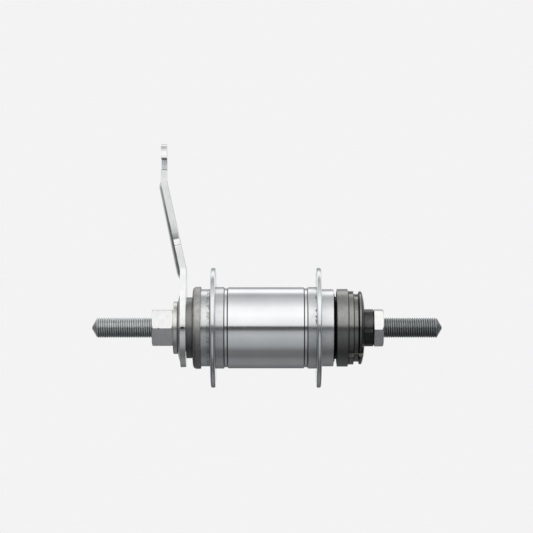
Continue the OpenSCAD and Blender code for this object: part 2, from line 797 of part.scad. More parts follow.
module driver() {
    shelf_at = driver_end - 1.9;
    body_at = drive_ball_at + drive_race_r + 1.3;
    body_r = driver_body_d / 2;
    inner_race_r = drive_pitch_d / 2 - 0.2;
    bore_r = axle_d / 2 + run_gap;
    cup_in_r = right_pitch_d / 2 - 2.1;
    core_end = shell_cone_end;
    lip_end = dome_at(dome_r);
    groove_bottom_r = seat_r - ring_groove_depth;
    color("#5a554e") difference() {
        union() {
            turned() difference() {
                union() {
                    polygon([
                        [0, screw_at], [screw_core_d / 2, screw_at], [screw_core_d / 2, core_end],
                        [driver_neck_r, core_end], [driver_neck_r, drive_ball_at],
                        [inner_race_r, drive_ball_at],
                        [inner_race_r, body_at], [body_r, body_at], [body_r, seat_at],
                        [seat_r, seat_at], [seat_r, ring_groove_at],
                        [groove_bottom_r, ring_groove_at], [groove_bottom_r, lip_at + 0.5],
                        [dome_r, lip_end], [mouth_r, dome_at(mouth_r)], [0, dome_at(mouth_r)]
                    ]);
                    difference() {
                        band(mouth_r, seat_r, lip_at, lip_end);
                        round_off(lip_round, seat_r, lip_at, 1, -1);
                        round_off(lip_round, seat_r, lip_end, 1, 1);
                    }
                }
                translate([drive_pitch_d / 2, drive_ball_at]) circle(drive_race_r);
                translate([right_pitch_d / 2, right_ball_at]) circle(right_race_r);
                polygon([
                    [0, screw_at - over], [bore_r, screw_at - over], [bore_r, cup_at], [cup_in_r, cup_at],
                    [cup_in_r, right_ball_at], [right_cup_r, right_ball_at], [right_cup_r, shelf_at],
                    [mouth_r, shelf_at], [mouth_r, driver_end + over], [0, driver_end + over]
                ]);
            }
            screw_starts_of(0, screw_at + ridge_foot / 2 + run_gap, core_end - ridge_foot / 2 - 2 * run_gap);
        }
        // Lug slots through the seat and the lip
        on_axle(seat_at) for (i = [0:lug_slots - 1])
            rotate([0, 0, lug_turn + i * 360 / lug_slots])
                translate([seat_r - lug_depth, -lug_w / 2, 0])
                    cube([seat_r, lug_w, driver_end - seat_at + over]);
    }
}

module driver_dust_cap() {
    r = driver_cap_d / 2;
    rim = 1.2;
    color("#4b4742") turned() difference() {
        union() {
            band(driver_body_d / 2 + press_gap, r, seat_at - cap_wall, seat_at);
            band(r - rim, r, driver_cap_at, seat_at);
        }
        round_off(0.5, r, driver_cap_at, 1, -1);
        round_off(0.3, r, seat_at, 1, 1);
    }
}

module right_cone() {
    r = cone_d / 2;
    race_in = right_pitch_d / 2 - right_race_r - 0.1;
    flank_r = right_pitch_d / 2 - 0.3;
    flank_end = right_ball_at + right_race_r + 0.1;
    color("#2b2b2c") difference() {
        turned() difference() {
            polygon([
                [threaded_r, right_ball_at - 2.6], [race_in, right_ball_at - 2.6],
                [race_in, right_ball_at], [flank_r, right_ball_at], [flank_r, flank_end],
                [r, flank_end + 0.8], [r, right_nut_at - cone_chamfer],
                [r - cone_chamfer, right_nut_at], [threaded_r, right_nut_at]
            ]);
            translate([right_pitch_d / 2, right_ball_at]) circle(right_race_r);
        }
        // Spanner flats
        on_axle(driver_end + 0.6) for (a = [35, 215])
            rotate([0, 0, a])
                translate([r - cone_flat_depth, -cone_d, 0]) cube([cone_d, 2 * cone_d, cone_out]);
    }
}

module cone_dust_cap() {
    inner = cone_d / 2 + press_gap;
    outer = mouth_r - run_gap;
    back = driver_end - cone_cap_w;
    color("#2b2b2c") turned() polygon([
        [inner, back], [outer, back], [outer, dome_at(outer)], [inner, dome_at(inner)]
    ]);
}

// Clutch and brake

module clutch_cone() {
    nose_r = spring_r;
    groove_r1 = spring_r - spring_wire_d / 2 - 0.05;
    groove_half = spring_wire_d / 2 + 0.1;
    minor_r = screw_core_d / 2 + screw_play;
    bore_r = axle_d / 2 + 2 * run_gap;
    nut_from = thread_from + ridge_foot / 2 + 1.2 * screw_play;
    color("#8c9092") difference() {
        turned() difference() {
            polygon([
                [bore_r, clutch_left], [nose_r, clutch_left], [nose_r, clutch_nose_at],
                [taper_small_d / 2, clutch_nose_at], [taper_big_d / 2, clutch_taper_at],
                [drive_big_r, drive_taper_at],
                [drive_big_r - drive_taper_w * tan(drive_angle), clutch_right],
                [minor_r, clutch_right], [minor_r, thread_from], [bore_r, thread_from]
            ]);
            band(groove_r1, 2 * nose_r, spring_at - groove_half, spring_at + groove_half);
        }
        screw_starts_of(screw_play, nut_from, clutch_right + ridge_foot);
    }
}

module clutch_spring() {
    leg_r = key_r - 1.1;
    wire_r = spring_wire_d / 2;
    leg = spring_at - brake_nose_at - brake_travel - leg_clear;
    $fn = 32;
    color("#b9bcbe") on_axle(spring_at) rotate([0, 0, 45]) {
        rotate_extrude(angle = 310) translate([spring_r, 0]) circle(wire_r);
        translate([spring_r, 0, 0]) sphere(wire_r);
        translate([spring_r, 0, 0]) rotate([0, 90, 0]) cylinder(h = leg_r - spring_r, r = wire_r);
        translate([leg_r, 0, 0]) sphere(wire_r);
        translate([leg_r, 0, -leg]) cylinder(h = leg, r = wire_r);
    }
}

// One of four shoes, its middle at the given angle
module brake_shoe(turn) {
    r = shoe_d / 2;
    bore_r = taper_small_d / 2 + shoe_bore_out;
    wide_r = key_r - taper_in * tan(taper_angle) + taper_gap;
    run = (wide_r - bore_r) / tan(taper_angle);
    // The sides lie parallel to the keys' sides
    apex = (key_w / 2 + key_play) * sqrt(2);
    middle = (shoe_left + shoe_right) / 2;
    color("#6f6a62") intersection() {
        turned() difference() {
            polygon([
                [wide_r, shoe_left], [r - 0.5, shoe_left], [r, shoe_left + 0.5],
                [r, shoe_right - 0.5], [r - 0.5, shoe_right], [wide_r, shoe_right],
                [bore_r, shoe_right - run], [bore_r, shoe_left + run]
            ]);
            // Grease grooves
            for (side = [-1, 1])
                translate([r + 0.3, middle + side * shoe_len / 6]) circle(0.8, $fn = 32);
        }
        on_axle(shoe_left - 1) rotate([0, 0, turn]) linear_extrude(shoe_len + 2)
            polygon([[apex, 0], [apex + 2 * r, 2 * r], [apex + 2 * r, -2 * r]]);
    }
}

module brake_shoe_1() {
    brake_shoe(90);
}

module brake_shoe_2() {
    brake_shoe(0);
}

module brake_shoe_3() {
    brake_shoe(270);
}

module brake_shoe_4() {
    brake_shoe(180);
}

axle();
arm_locknut();
arm_washer();
brake_arm();
brake_cone();
left_dust_cap();
right_cone();
cone_dust_cap();
right_locknut();
hub_shell();
flange_left();
flange_right();
left_balls();
left_ball_cage();
drive_balls();
drive_ball_cage();
right_balls();
right_ball_cage();
driver();
driver_dust_cap();
clutch_cone();
clutch_spring();
brake_shoe_1();
brake_shoe_2();
brake_shoe_3();
brake_shoe_4();
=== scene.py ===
from math import acos, asin, atan2, copysign, cos, degrees, hypot, pi, radians, sin, sqrt, tan

import bmesh
import bpy
from mathutils import Matrix, Vector


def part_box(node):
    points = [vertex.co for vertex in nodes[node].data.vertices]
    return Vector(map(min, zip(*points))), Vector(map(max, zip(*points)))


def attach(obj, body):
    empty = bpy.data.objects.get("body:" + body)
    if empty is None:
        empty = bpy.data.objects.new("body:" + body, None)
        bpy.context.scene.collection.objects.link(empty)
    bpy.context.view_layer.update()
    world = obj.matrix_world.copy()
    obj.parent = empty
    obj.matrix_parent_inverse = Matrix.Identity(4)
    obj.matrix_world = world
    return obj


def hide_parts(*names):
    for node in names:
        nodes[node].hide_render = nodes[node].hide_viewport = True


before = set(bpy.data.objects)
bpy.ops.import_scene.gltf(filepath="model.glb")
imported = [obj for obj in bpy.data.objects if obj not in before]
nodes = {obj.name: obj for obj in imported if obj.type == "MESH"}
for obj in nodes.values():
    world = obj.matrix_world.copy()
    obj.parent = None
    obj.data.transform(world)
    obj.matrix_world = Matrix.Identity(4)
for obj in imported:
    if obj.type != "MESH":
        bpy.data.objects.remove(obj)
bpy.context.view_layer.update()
mm = 0.001
print("frame loaded:", len(nodes), "nodes")

# Stations run along the axle in mm: 0 midway between the locknuts, positive to the driver's end.
# A point at a radius, station and angle lies at (r cos a, -station, r sin a).


def ends(node):
    low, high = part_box(node)
    return -high.y / mm, -low.y / mm


def middleOf(node):
    return sum(ends(node)) / 2


def point(r, s, a):
    return (r * cos(a) * mm, -s * mm, r * sin(a) * mm)


def toLinear(code):
    parts = [int(code[i:i + 2], 16) / 255 for i in (1, 3, 5)]
    return tuple(c / 12.92 if c <= 0.04045 else ((c + 0.055) / 1.055) ** 2.4 for c in parts) + (1.0,)


def add(tree, kind, inputs=None, stops=(), **settings):
    node = tree.nodes.new("ShaderNode" + kind)
    for key, value in settings.items():
        setattr(node, key, value)
    for socket, value in (inputs or {}).items():
        if isinstance(value, bpy.types.NodeSocket):
            tree.links.new(value, node.inputs[socket])
        else:
            node.inputs[socket].default_value = value
    if stops:
        # A ramp's stops are each a place from 0 to 1 and its colour
        elements = node.color_ramp.elements
        while len(elements) < len(stops):
            elements.new(1.0)
        for element, (place, colour) in zip(elements, stops):
            element.position = place
            element.color = colour
    return node.outputs


def newObject(name, data):
    item = bpy.data.objects.new(name, data)
    bpy.context.scene.collection.objects.link(item)
    return item


# Materials. Patterns are laid out in the object's own millimetres.

def newMetal(name, look, dress=None):
    # dress gives layers of stains, wear and painted shade, each a mask and a colour, to lie over the
    # metal's own tone
    look = {**usual, **look}
    material = bpy.data.materials.new(name)
    material.use_nodes = True
    tree = material.node_tree
    shader = tree.nodes["Principled BSDF"]
    shader.inputs["Metallic"].default_value = look["metallic"]
    if "spread" in look:
        # Turning marks run round the axle and spread a highlight along it
        shader.inputs["Anisotropic"].default_value = look["spread"]
        shader.inputs["Anisotropic Rotation"].default_value = 0.25
        around = add(tree, "Tangent", direction_type="RADIAL", axis="Y")
        tree.links.new(around["Tangent"], shader.inputs["Tangent"])
    place = add(tree, "TexCoord")["Object"]
    inMm = add(tree, "VectorMath", {0: place, "Scale": 1 / mm}, operation="SCALE")[0]
    # Cloudy change of tone, as plating and oil leave it
    cloud = add(tree, "TexNoise", {"Vector": inMm, "Scale": 1 / look["cloudMm"], "Detail": 3.0})["Fac"]
    tones = [(0.3, toLinear(look["dark"])), (0.7, toLinear(look["light"]))]
    colour = add(tree, "ValToRGB", {"Fac": cloud}, stops=tones)[0]
    if "under" in look:
        # Painted shade: the colour darkens towards the bottom, down to the given share
        height = add(tree, "SeparateXYZ", {0: inMm})["Z"]
        paintedShadeBelow = add(tree, "MapRange", {
            "Value": height, "From Min": -8.0, "From Max": 3.0, "To Min": look["under"], "To Max": 1.0},
            interpolation_type="SMOOTHSTEP")[0]
        colour = add(tree, "VectorMath", {0: colour, "Scale": paintedShadeBelow}, operation="SCALE")[0]
    # Grain, which breaks the gloss up. The real one is under 0.1 mm, so it is drawn as coarse as it
    # needs to show.
    grain = add(tree, "TexNoise", {"Vector": inMm, "Scale": 1 / look["grainMm"], "Detail": 2.0})["Fac"]
    rough = add(tree, "MapRange", {
        "Value": grain, "From Min": 0.3, "From Max": 0.7,
        "To Min": look["rough"] - look["roughPlay"], "To Max": look["rough"] + look["roughPlay"]})[0]
    bump = add(tree, "Bump", {
        "Height": grain, "Strength": look["bump"], "Distance": look["grainMm"] * 0.25 * mm})[0]
    if "ringMm" in look:
        # Rings: noise that changes along the axle only, coarser than the tool's feed of 0.2 mm so that
        # they show
        along = add(tree, "VectorMath", {0: inMm, 1: (0.02, 1.0, 0.02)}, operation="MULTIPLY")[0]
        rings = add(tree, "TexNoise", {"Vector": along, "Scale": 1 / look["ringMm"], "Detail": 4.0})["Fac"]
        bump = add(tree, "Bump", {
            "Height": rings, "Strength": look["ringBump"], "Distance": 0.05 * mm, "Normal": bump})[0]
    for mask, code in dress(tree, look, inMm) if dress else ():
        colour = add(tree, "Mix", {"Factor": mask, 6: colour, 7: toLinear(code)}, data_type="RGBA")[2]
    tree.links.new(colour, shader.inputs["Base Color"])
    tree.links.new(rough, shader.inputs["Roughness"])
    tree.links.new(bump, shader.inputs["Normal"])
    made[name] = material


made = {}
# What a finish has unless it says otherwise
usual = dict(metallic=1.0, roughPlay=0.05, bump=0.2, cloudMm=3.0, grainMm=0.4)
# Some finishes darken towards the bottom by a given share, as painted shade
finishes = {
    # Bright zinc over pressed steel: cool white metal, slightly cloudy, soft highlights
    "zincPlatedPressing": dict(light="#e3e3e3", dark="#d6d7d7", rough=0.18, roughPlay=0.03, bump=0.03,
                               cloudMm=5.0, grainMm=0.5),
    # Painted shade over zinc, thin and thick
    "zincPaintedShade": dict(light="#999b9b", dark="#858787", metallic=0.9, rough=0.45, roughPlay=0.06,
                      cloudMm=2.0),
    "blackPaintedShade": dict(light="#0f0f0e", dark="#080808", metallic=0.3, rough=0.5, roughPlay=0.06,
                       cloudMm=0.8, grainMm=0.3),
    # The same zinc over a punched, sheared wall: matte, and near-white as painted light
    "shearedZincPaintedLight": dict(light="#f2f3f4", dark="#dfe1e2", metallic=0.2, rough=0.5, bump=0.05, cloudMm=0.8,
                        grainMm=0.5),
    # Bright zinc over turned steel: whiter and glossier on flat faces
    "zincPlatedNut": dict(light="#e4e4e3", dark="#d9dad9", rough=0.24, roughPlay=0.04, bump=0.14,
                          grainMm=0.5),
    # Barrel-plated washer: satin, slightly yellow zinc
    "satinZincWasher": dict(light="#e9e8e4", dark="#dad9d4", rough=0.36, spread=0.8),
    # Grey phosphate on the left dust cap: even, matte, barely metallic
    "greyPhosphate": dict(light="#bab9b6", dark="#a7a6a3", metallic=0.85, rough=0.42, bump=0.45,
                          cloudMm=2.2, under=0.52),
    # Darker phosphate on the brake cone's collar, ground where the balls run
    "darkPhosphate": dict(light="#9b9b99", dark="#898988", metallic=0.9, rough=0.36, roughPlay=0.06,
                          bump=0.3, grainMm=0.3, under=0.5),
    # Brown-black baked finish on the driver's dust cap: matte, finely speckled
    "bakedBrownCap": dict(light="#9f9f9c", dark="#939390", rough=0.36, spread=0.95, bump=0.15, cloudMm=2.5,
                          grainMm=0.35, under=0.7),
    # Walls of the driver's slots: duller and more diffuse, so that they show lit, as painted light
    "slotWallPaintedLight": dict(light="#81817f", dark="#727270", metallic=0.6, rough=0.5, bump=0.15,
                           cloudMm=1.5, grainMm=0.35),
    # Black oxide: deep black, oily gloss
    "blackOxide": dict(light="#565656", dark="#444444", rough=0.22, bump=0.25, cloudMm=2.5, under=0.75),
    # Polished bearing balls: mirror bright
    "polishedBearingSteel": dict(light="#eceded", dark="#e0e2e3", rough=0.08, roughPlay=0.02, bump=0.03,
                                 grainMm=0.3),
    # Pressed cages with a straw tint from heat treatment
    "strawTintedCage": dict(light="#c2b78f", dark="#a89b72", rough=0.32, roughPlay=0.06, bump=0.25,
                            grainMm=0.3),
    # Ground and greased clutch cone
    "groundClutchSteel": dict(light="#bfc3c5", dark="#a4a9ac", rough=0.27, roughPlay=0.06, cloudMm=4.0,
                              grainMm=0.25),
    # Drawn spring wire
    "drawnSpringWire": dict(light="#d4d6d7", dark="#bcbfc1", rough=0.25, cloudMm=1.5, grainMm=0.2),
    # Brake shoes: rubbed brown-grey bearing metal
    "rubbedShoeMetal": dict(light="#aa9f8f", dark="#857b6c", metallic=0.9, rough=0.4, roughPlay=0.08,
                            bump=0.4, cloudMm=2.0, grainMm=0.3),
    # Plated flanges: glossy, with a fine orange-peel skin
    "platedFlange": dict(light="#dcdfe0", dark="#d0d4d6", rough=0.16, roughPlay=0.04, bump=0.12,
                         cloudMm=8.0),
}
for name, look in finishes.items():
    newMetal(name, look)

# Turned and bright-plated shell: near mirror, with fine rings from the turning tool, and painted shade on
# the walls of its two grooves
brightShell = dict(light="#e2e3e4", dark="#dadbdc", rough=0.11, roughPlay=0.02, bump=0.04, cloudMm=14.0,
                   grainMm=0.5, ringMm=0.9, ringBump=0.12, root="#38332d", dirt=0.8, dirtNear=0.12,
                   dirtFar=0.38)

# The shell's ends are turned but not polished; painted shade darkens the root of each flange, and brown
# stains lie beside the left flange
shellEnd = dict(brightShell, light="#e6e7e7", dark="#dcdddd", rough=0.31, roughPlay=0.03, spread=0.95,
                cloudMm=6.0, ringMm=0.6, ringBump=0.15, rootIn=0.25, rootNear=0.15, rootFar=0.45,
                rootShare=0.85, stain="#7d7364", stainMm=1.7, stainIn=1.1, stainNear=0.6, stainFar=1.7,
                stainShare=0.6, grease="#1d1b19", greaseIn=0.6)


def stationLine(tree, across, station, near, far, share=1.0):
    # The share as far as near mm from a station, 0 beyond far mm
    off = add(tree, "Math", {0: across, 1: station}, operation="ADD")[0]
    off = add(tree, "Math", {0: off}, operation="ABSOLUTE")[0]
    return add(tree, "MapRange", {
        "Value": off, "From Min": near, "From Max": far, "To Min": share, "To Max": 0.0})[0]


def shadedGrooves(tree, look, inMm):
    across = add(tree, "SeparateXYZ", {0: inMm})["Y"]
    for station in grooveWalls:
        # Painted shade: a dark line along each wall of the grooves
        dirt = stationLine(tree, across, station, look["dirtNear"], look["dirtFar"], look["dirt"])
        yield dirt, look["root"]


def stainsAndShadeOnEnds(tree, look, inMm):
    yield from shadedGrooves(tree, look, inMm)
    across = add(tree, "SeparateXYZ", {0: inMm})["Y"]
    patches = add(tree, "TexNoise", {"Vector": inMm, "Scale": 1 / look["stainMm"], "Detail": 2.0})["Fac"]
    for station, cover in ((flangeLeft[0], 0.1), (flangeRight[0], 0.57)):
        # Painted shade: a dark line at the flange's root, broken up in random patches
        line = stationLine(tree, across, station - look["rootIn"], look["rootNear"], look["rootFar"])
        patchy = add(tree, "MapRange", {
            "Value": patches, "From Min": cover - 0.04, "From Max": cover + 0.04,
            "To Max": look["rootShare"]})[0]
        yield add(tree, "Math", {0: line, 1: patchy}, operation="MULTIPLY")[0], look["root"]
    # Brown blotches beside the left flange
    beside = stationLine(tree, across, flangeLeft[0] - look["stainIn"], look["stainNear"], look["stainFar"])
    level = add(tree, "Math", {0: beside, 1: patches}, operation="MULTIPLY")[0]
    yield add(tree, "MapRange", {
        "Value": level, "From Min": 0.4, "From Max": 0.62, "To Max": look["stainShare"]})[0], look["stain"]
    # Painted shade, with old grease, in the gap before the driver's cap
    gapAt = look["greaseIn"] - ends("hub_shell")[1]
    yield add(tree, "Math", {0: across, 1: gapAt}, operation="LESS_THAN")[0], look["grease"]


# Rolled axle thread: dark oiled steel whose crests are rubbed brighter than its flanks
rolledThread = dict(light="#dadddd", dark="#bdc1c2", rough=0.3, bump=0.12, cloudMm=1.6, root="#8f9293",
                    rootR=4.25, crestR=4.65, oil="#000000", oily=0.42, oilyFrom=30.0)


def rubbedCrests(tree, look, inMm):
    parts = add(tree, "SeparateXYZ", {0: inMm})
    flat = add(tree, "CombineXYZ", {"X": parts["X"], "Y": parts["Z"]})[0]
    radius = add(tree, "VectorMath", {0: flat}, operation="LENGTH")["Value"]
    yield add(tree, "MapRange", {
        "Value": radius, "From Min": look["rootR"], "From Max": look["crestR"],
        "To Min": 1.0, "To Max": 0.0})[0], look["root"]
    # The thread at the driver's end is darker
    oily = add(tree, "Math", {0: parts["Y"], 1: -look["oilyFrom"]}, operation="LESS_THAN")[0]
    yield add(tree, "Math", {0: oily, 1: look["oily"]}, operation="MULTIPLY")[0], look["oil"]


# Oil-quenched driver steel: brown-black with a satin sheen, darker towards the bottom as painted shade.
# Painted shade lies in the corners of its groove and under its lip, at these distances past the dust cap,
# and over its end face.
driverSteel = dict(light="#9e9e9b", dark="#8f8f8c", rough=0.34, roughPlay=0.04, spread=0.95, bump=0.1,
                   cloudMm=3.5, grainMm=0.35, under=0.7, oil="#2a2928", corners=(0.6, 3.1, 5.25, 5.5, 5.7),
                   near=0.1, far=0.32, gap=0.3, gapNear=1.3, gapFar=1.6, face=6.45, faceFade=0.2,
                   faceShare=0.85)


def shadedCorners(tree, look, inMm):
    across = add(tree, "SeparateXYZ", {0: inMm})["Y"]
    for past in look["corners"]:
        yield stationLine(tree, across, capEnd + past, look["near"], look["far"]), look["oil"]
    # Painted shade, with grease, fills the gap before the dust cap
    yield stationLine(tree, across, capStart + look["gap"], look["gapNear"], look["gapFar"]), look["oil"]
    # Painted shade darkens the end face beyond the lip
    faceAt = -capEnd - look["face"]
    yield add(tree, "MapRange", {
        "Value": across, "From Min": faceAt, "From Max": faceAt - look["faceFade"],
        "To Max": look["faceShare"]})[0], look["oil"]


# The shell's two grooves lie this far inside the flanges
grooveIn = 6.1
flangeLeft, flangeRight = ends("flange_left"), ends("flange_right")
grooves = [middleOf("flange_left") + grooveIn, middleOf("flange_right") - grooveIn]
grooveWalls = [middle + side for middle in grooves for side in (-0.84, 0.7)]
capStart, capEnd = ends("driver_dust_cap")
newMetal("turnedBrightShell", brightShell, shadedGrooves)
newMetal("turnedShellEnd", shellEnd, stainsAndShadeOnEnds)
newMetal("driverSteelPaintedShade", driverSteel, shadedCorners)
newMetal("rolledThreadSteel", rolledThread, rubbedCrests)
print("materials made:", len(made))


# Meshes

def newMesh(verts, faces):
    mesh = bpy.data.meshes.new("mesh")
    mesh.from_pydata(verts, [], faces)
    return mesh


def meshOf(name, shape):
    mesh = bpy.data.meshes.new(name)
    shape.to_mesh(mesh)
    shape.free()
    return mesh


def wrapped(rows, size):
    # Quads of a grid of rows, closed both ways
    faces = []
    for k in range(rows):
        j = (k + 1) % rows
        for i in range(size):
            n = (i + 1) % size
            faces.append((k * size + i, k * size + n, j * size + n, j * size + i))
    return faces


def rounded(corners, steps=5):
    # Closed outline of (radius, station, rounding); each corner becomes an arc
    out = []
    count = len(corners)
    for i, (r, s, fillet) in enumerate(corners):
        here = Vector((r, s))
        if fillet <= 0:
            out.append((r, s))
            continue
        before = Vector(corners[i - 1][:2]) - here
        after = Vector(corners[(i + 1) % count][:2]) - here
        half = before.angle(after) / 2
        reach = min(fillet / tan(half), 0.48 * min(before.length, after.length))
        size = reach * tan(half)
        middle = here + (before.normalized() + after.normalized()).normalized() * (size / sin(half))
        start = here + before.normalized() * reach - middle
        end = here + after.normalized() * reach - middle
        sweep = start.angle_signed(end)
        for k in range(steps + 1):
            turn = -sweep * k / steps
            c, n = cos(turn), sin(turn)
            out.append((middle.x + start.x * c - start.y * n, middle.y + start.x * n + start.y * c))
    return out


def arc(r, s, size, start, end, steps=10):
    # Corners along an arc about a point in the outline; 0 degrees is outwards, 90 to the driver's end
    turns = [radians(start + (end - start) * k / steps) for k in range(steps + 1)]
    return [(r + size * cos(a), s + size * sin(a), 0) for a in turns]


def newPiece(node, way, mesh, body, finish, sharp=32):
    # A piece is named for its node and the way it was made
    mesh.name = name = node + "_" + way
    mesh.validate()
    tidy = bmesh.new()
    tidy.from_mesh(mesh)
    bmesh.ops.remove_doubles(tidy, verts=tidy.verts, dist=1e-7)
    bmesh.ops.dissolve_degenerate(tidy, edges=tidy.edges, dist=1e-7)
    bmesh.ops.recalc_face_normals(tidy, faces=tidy.faces)
    tidy.to_mesh(mesh)
    tidy.free()
    mesh.shade_smooth()
    mesh.set_sharp_from_angle(angle=radians(sharp))
    piece = newObject(name, mesh)
    mesh.materials.append(made[finish])
    weighted = piece.modifiers.new("weighted", "WEIGHTED_NORMAL")
    weighted.keep_sharp = True
    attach(piece, body)
    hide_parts(node)
    return piece


def turned(node, way, outline, body, finish, columns=192, shape=None, sharp=32):
    # shape moves a point's radius, station and angle, for flats
    verts = []
    for k in range(columns):
        a = 2 * pi * k / columns
        for r, s in outline:
            verts.append(point(*(shape(r, s, a) if shape else (r, s, a))))
    mesh = newMesh(verts, wrapped(columns, len(outline)))
    return newPiece(node, way, mesh, body, finish, sharp)


# Axle with its two rolled threads

axle = dict(crest=4.75, root=4.28, plain=4.55, pitch=25.4 / 24, columns=64, tipAngle=120, tipFlat=0.6,
            plainShort=2.2)


def makeAxle(d):
    left, right = ends("axle")
    nutLeft = ends("arm_locknut")[0]
    nutRight = ends("right_locknut")[1]
    plainFrom = ends("brake_cone")[1] + 0.5
    plainTo = ends("right_cone")[0] - d["plainShort"]
    slope = tan(radians(d["tipAngle"] / 2))
    # One turn of the thread: place along the pitch and height between root and crest
    section = [(0.08, 1.0), (0.12, 0.95), (0.42, 0.06), (0.5, 0.0), (0.58, 0.06), (0.88, 0.95),
               (0.92, 1.0)]
    count, pitch = d["columns"], d["pitch"]
    rows = []

    def threadRows(start, end, tipAt):
        for turn in range(int(start / pitch - 1) - 1, int(end / pitch + 1) + 1):
            for place, height in section:
                row = []
                for k in range(count):
                    s = (turn + place + k / count) * pitch
                    inside = start < s < end
                    s = min(max(s, start), end)
                    r = d["root"] + (d["crest"] - d["root"]) * (height if inside else 0)
                    r = min(r, d["tipFlat"] + abs(s - tipAt) * slope)
                    row.append((r, s))
                rows.append(row)

    threadRows(left, nutLeft, left)
    root, plain = d["root"], d["plain"]
    for r, s in ((root, nutLeft), (root, plainFrom), (plain, plainFrom), (plain, plainTo), (root, plainTo),
                 (root, nutRight)):
        rows.append([(r, s)] * count)
    threadRows(nutRight, right, right)
    verts = [point(r, s, 2 * pi * k / count) for row in rows for k, (r, s) in enumerate(row)]
    faces = []
    for i in range(len(rows) - 1):
        for k in range(count):
            j = (k + 1) % count
            # The seam joins each turn of the thread to the next
            faces.append((i * count + k, i * count + j, (i + 1) * count + j, (i + 1) * count + k))
    faces.append(tuple(range(count)))
    faces.append(tuple(reversed(range((len(rows) - 1) * count, len(rows) * count))))
    mesh = newMesh(verts, faces)
    newPiece("axle", "threaded", mesh, "axle_set", "rolledThreadSteel", 28)


# Hexagon nuts

hexNut = dict(acrossFlats=17.0, chamfer=0.9, cornerR=0.35, edge=0.16, bore=4.15, boreChamfer=0.9,
              nickAt=0.33, nickDepth=0.4, nickHalf=0.26)


def makeNut(node, turn, nicks, cutEnds, d):
    start, end = ends(node)
    height = end - start
    cornerAt = d["acrossFlats"] / 2 / cos(pi / 6)
    # A nut is chamfered at both ends, or left square at the end that bears
    limits = [cornerAt - d["chamfer"] if cut else cornerAt for cut in cutEnds]
    cornerR = d["cornerR"]
    back = cornerAt - cornerR / cos(pi / 6)

    def corner(k, t):
        # Point t of the rounding of corner k
        a = radians(60 * k + turn)
        b = a + radians(15 * t - 30)
        return back * cos(a) + cornerR * cos(b), back * sin(a) + cornerR * sin(b)

    # Outline in the nut's own plane: rounded corners joined by flats with several points each
    outline = []
    for k in range(6):
        outline += [(*corner(k, t), abs(t - 2) < 2) for t in range(5)]
        (ax, ay), (bx, by) = corner(k, 4), corner(k + 1, 0)
        outline += [(ax + (bx - ax) * t / 12, ay + (by - ay) * t / 12, False) for t in range(1, 12)]
    fall = tan(radians(30))
    levels = []

    def ring(radiusOf, stationOf):
        levels.append([(radiusOf(hypot(x, y), corner), stationOf(hypot(x, y)), atan2(y, x))
                       for x, y, corner in outline])

    def nutEnd(at, way, limit):
        # Rings from the bore's mouth out over the face, the chamfer and its rounded edge
        e = d["edge"]
        drop = lambda r: way * max(0, r - limit) * fall
        ring(lambda r, c: d["bore"], lambda r: at + way * d["boreChamfer"])
        ring(lambda r, c: d["bore"] + d["boreChamfer"], lambda r: at)
        ring(lambda r, c: min(r, limit) - e * 1.6, lambda r: at)
        ring(lambda r, c: min(r, limit) - e * 0.4, lambda r: at + way * e * 0.12)
        ring(lambda r, c: r - e * (0.5 if r > limit else 0.12), lambda r: at + drop(r) + way * e * 0.45)
        ring(lambda r, c: r, lambda r: at + drop(r) + way * e * 1.3)

    nutEnd(start, 1, limits[0])
    if nicks:
        at = start + height * d["nickAt"]
        for off, deep in ((-1.6, 0), (-1, 0.2), (0, 1), (1, 0.2), (1.6, 0)):
            ring(lambda r, c, deep=deep: r - (d["nickDepth"] * deep if c else 0),
                 lambda r, off=off: at + off * d["nickHalf"])
    upTo = len(levels)
    nutEnd(end, -1, limits[1])
    levels[upTo:] = reversed(levels[upTo:])
    verts = [point(*p) for level in levels for p in level]
    mesh = newMesh(verts, wrapped(len(levels), len(outline)))
    newPiece(node, "turned", mesh, "axle_set", "zincPlatedNut", 22)


# Turned pieces on the fixed axle

washer = dict(bore=4.8, outer=12.5)


def makeWasher(d):
    start, end = ends("arm_washer")
    bore, outer = d["bore"], d["outer"]
    outline = rounded([(bore, start, 0.15), (outer, start, 0.6), (outer, end, 0.3), (bore, end, 0.15)])
    turned("arm_washer", "pressed", outline, "axle_set", "satinZincWasher")


leftCap = dict(bore=14.007, outer=19.547, wall=0.85, corner=1.9, stand=0.4)


def makeLeftCap(d):
    start, end = ends("left_dust_cap")
    # A thin dark gap parts the cap from the collar
    start += d["stand"]
    inside, insideAt = d["outer"] - d["wall"], start + d["wall"]
    outline = rounded([
        (d["bore"], start, 0.12), (d["outer"], start, d["corner"]), (d["outer"], end, 0.3),
        (inside, end, 0.25), (inside, insideAt, d["corner"] - d["wall"]), (d["bore"], insideAt, 0.12)], 8)
    turned("left_dust_cap", "pressed", outline, "axle_set", "greyPhosphate")


rightCone = dict(bore=4.15, outer=8.85, chamfer=0.6, ballCircle=10.0, ballIn=2.6, race=2.48, raceIn=7.42,
                 flank=9.7, flatDepth=0.65, flatTurn=35, flatFrom=0.6)


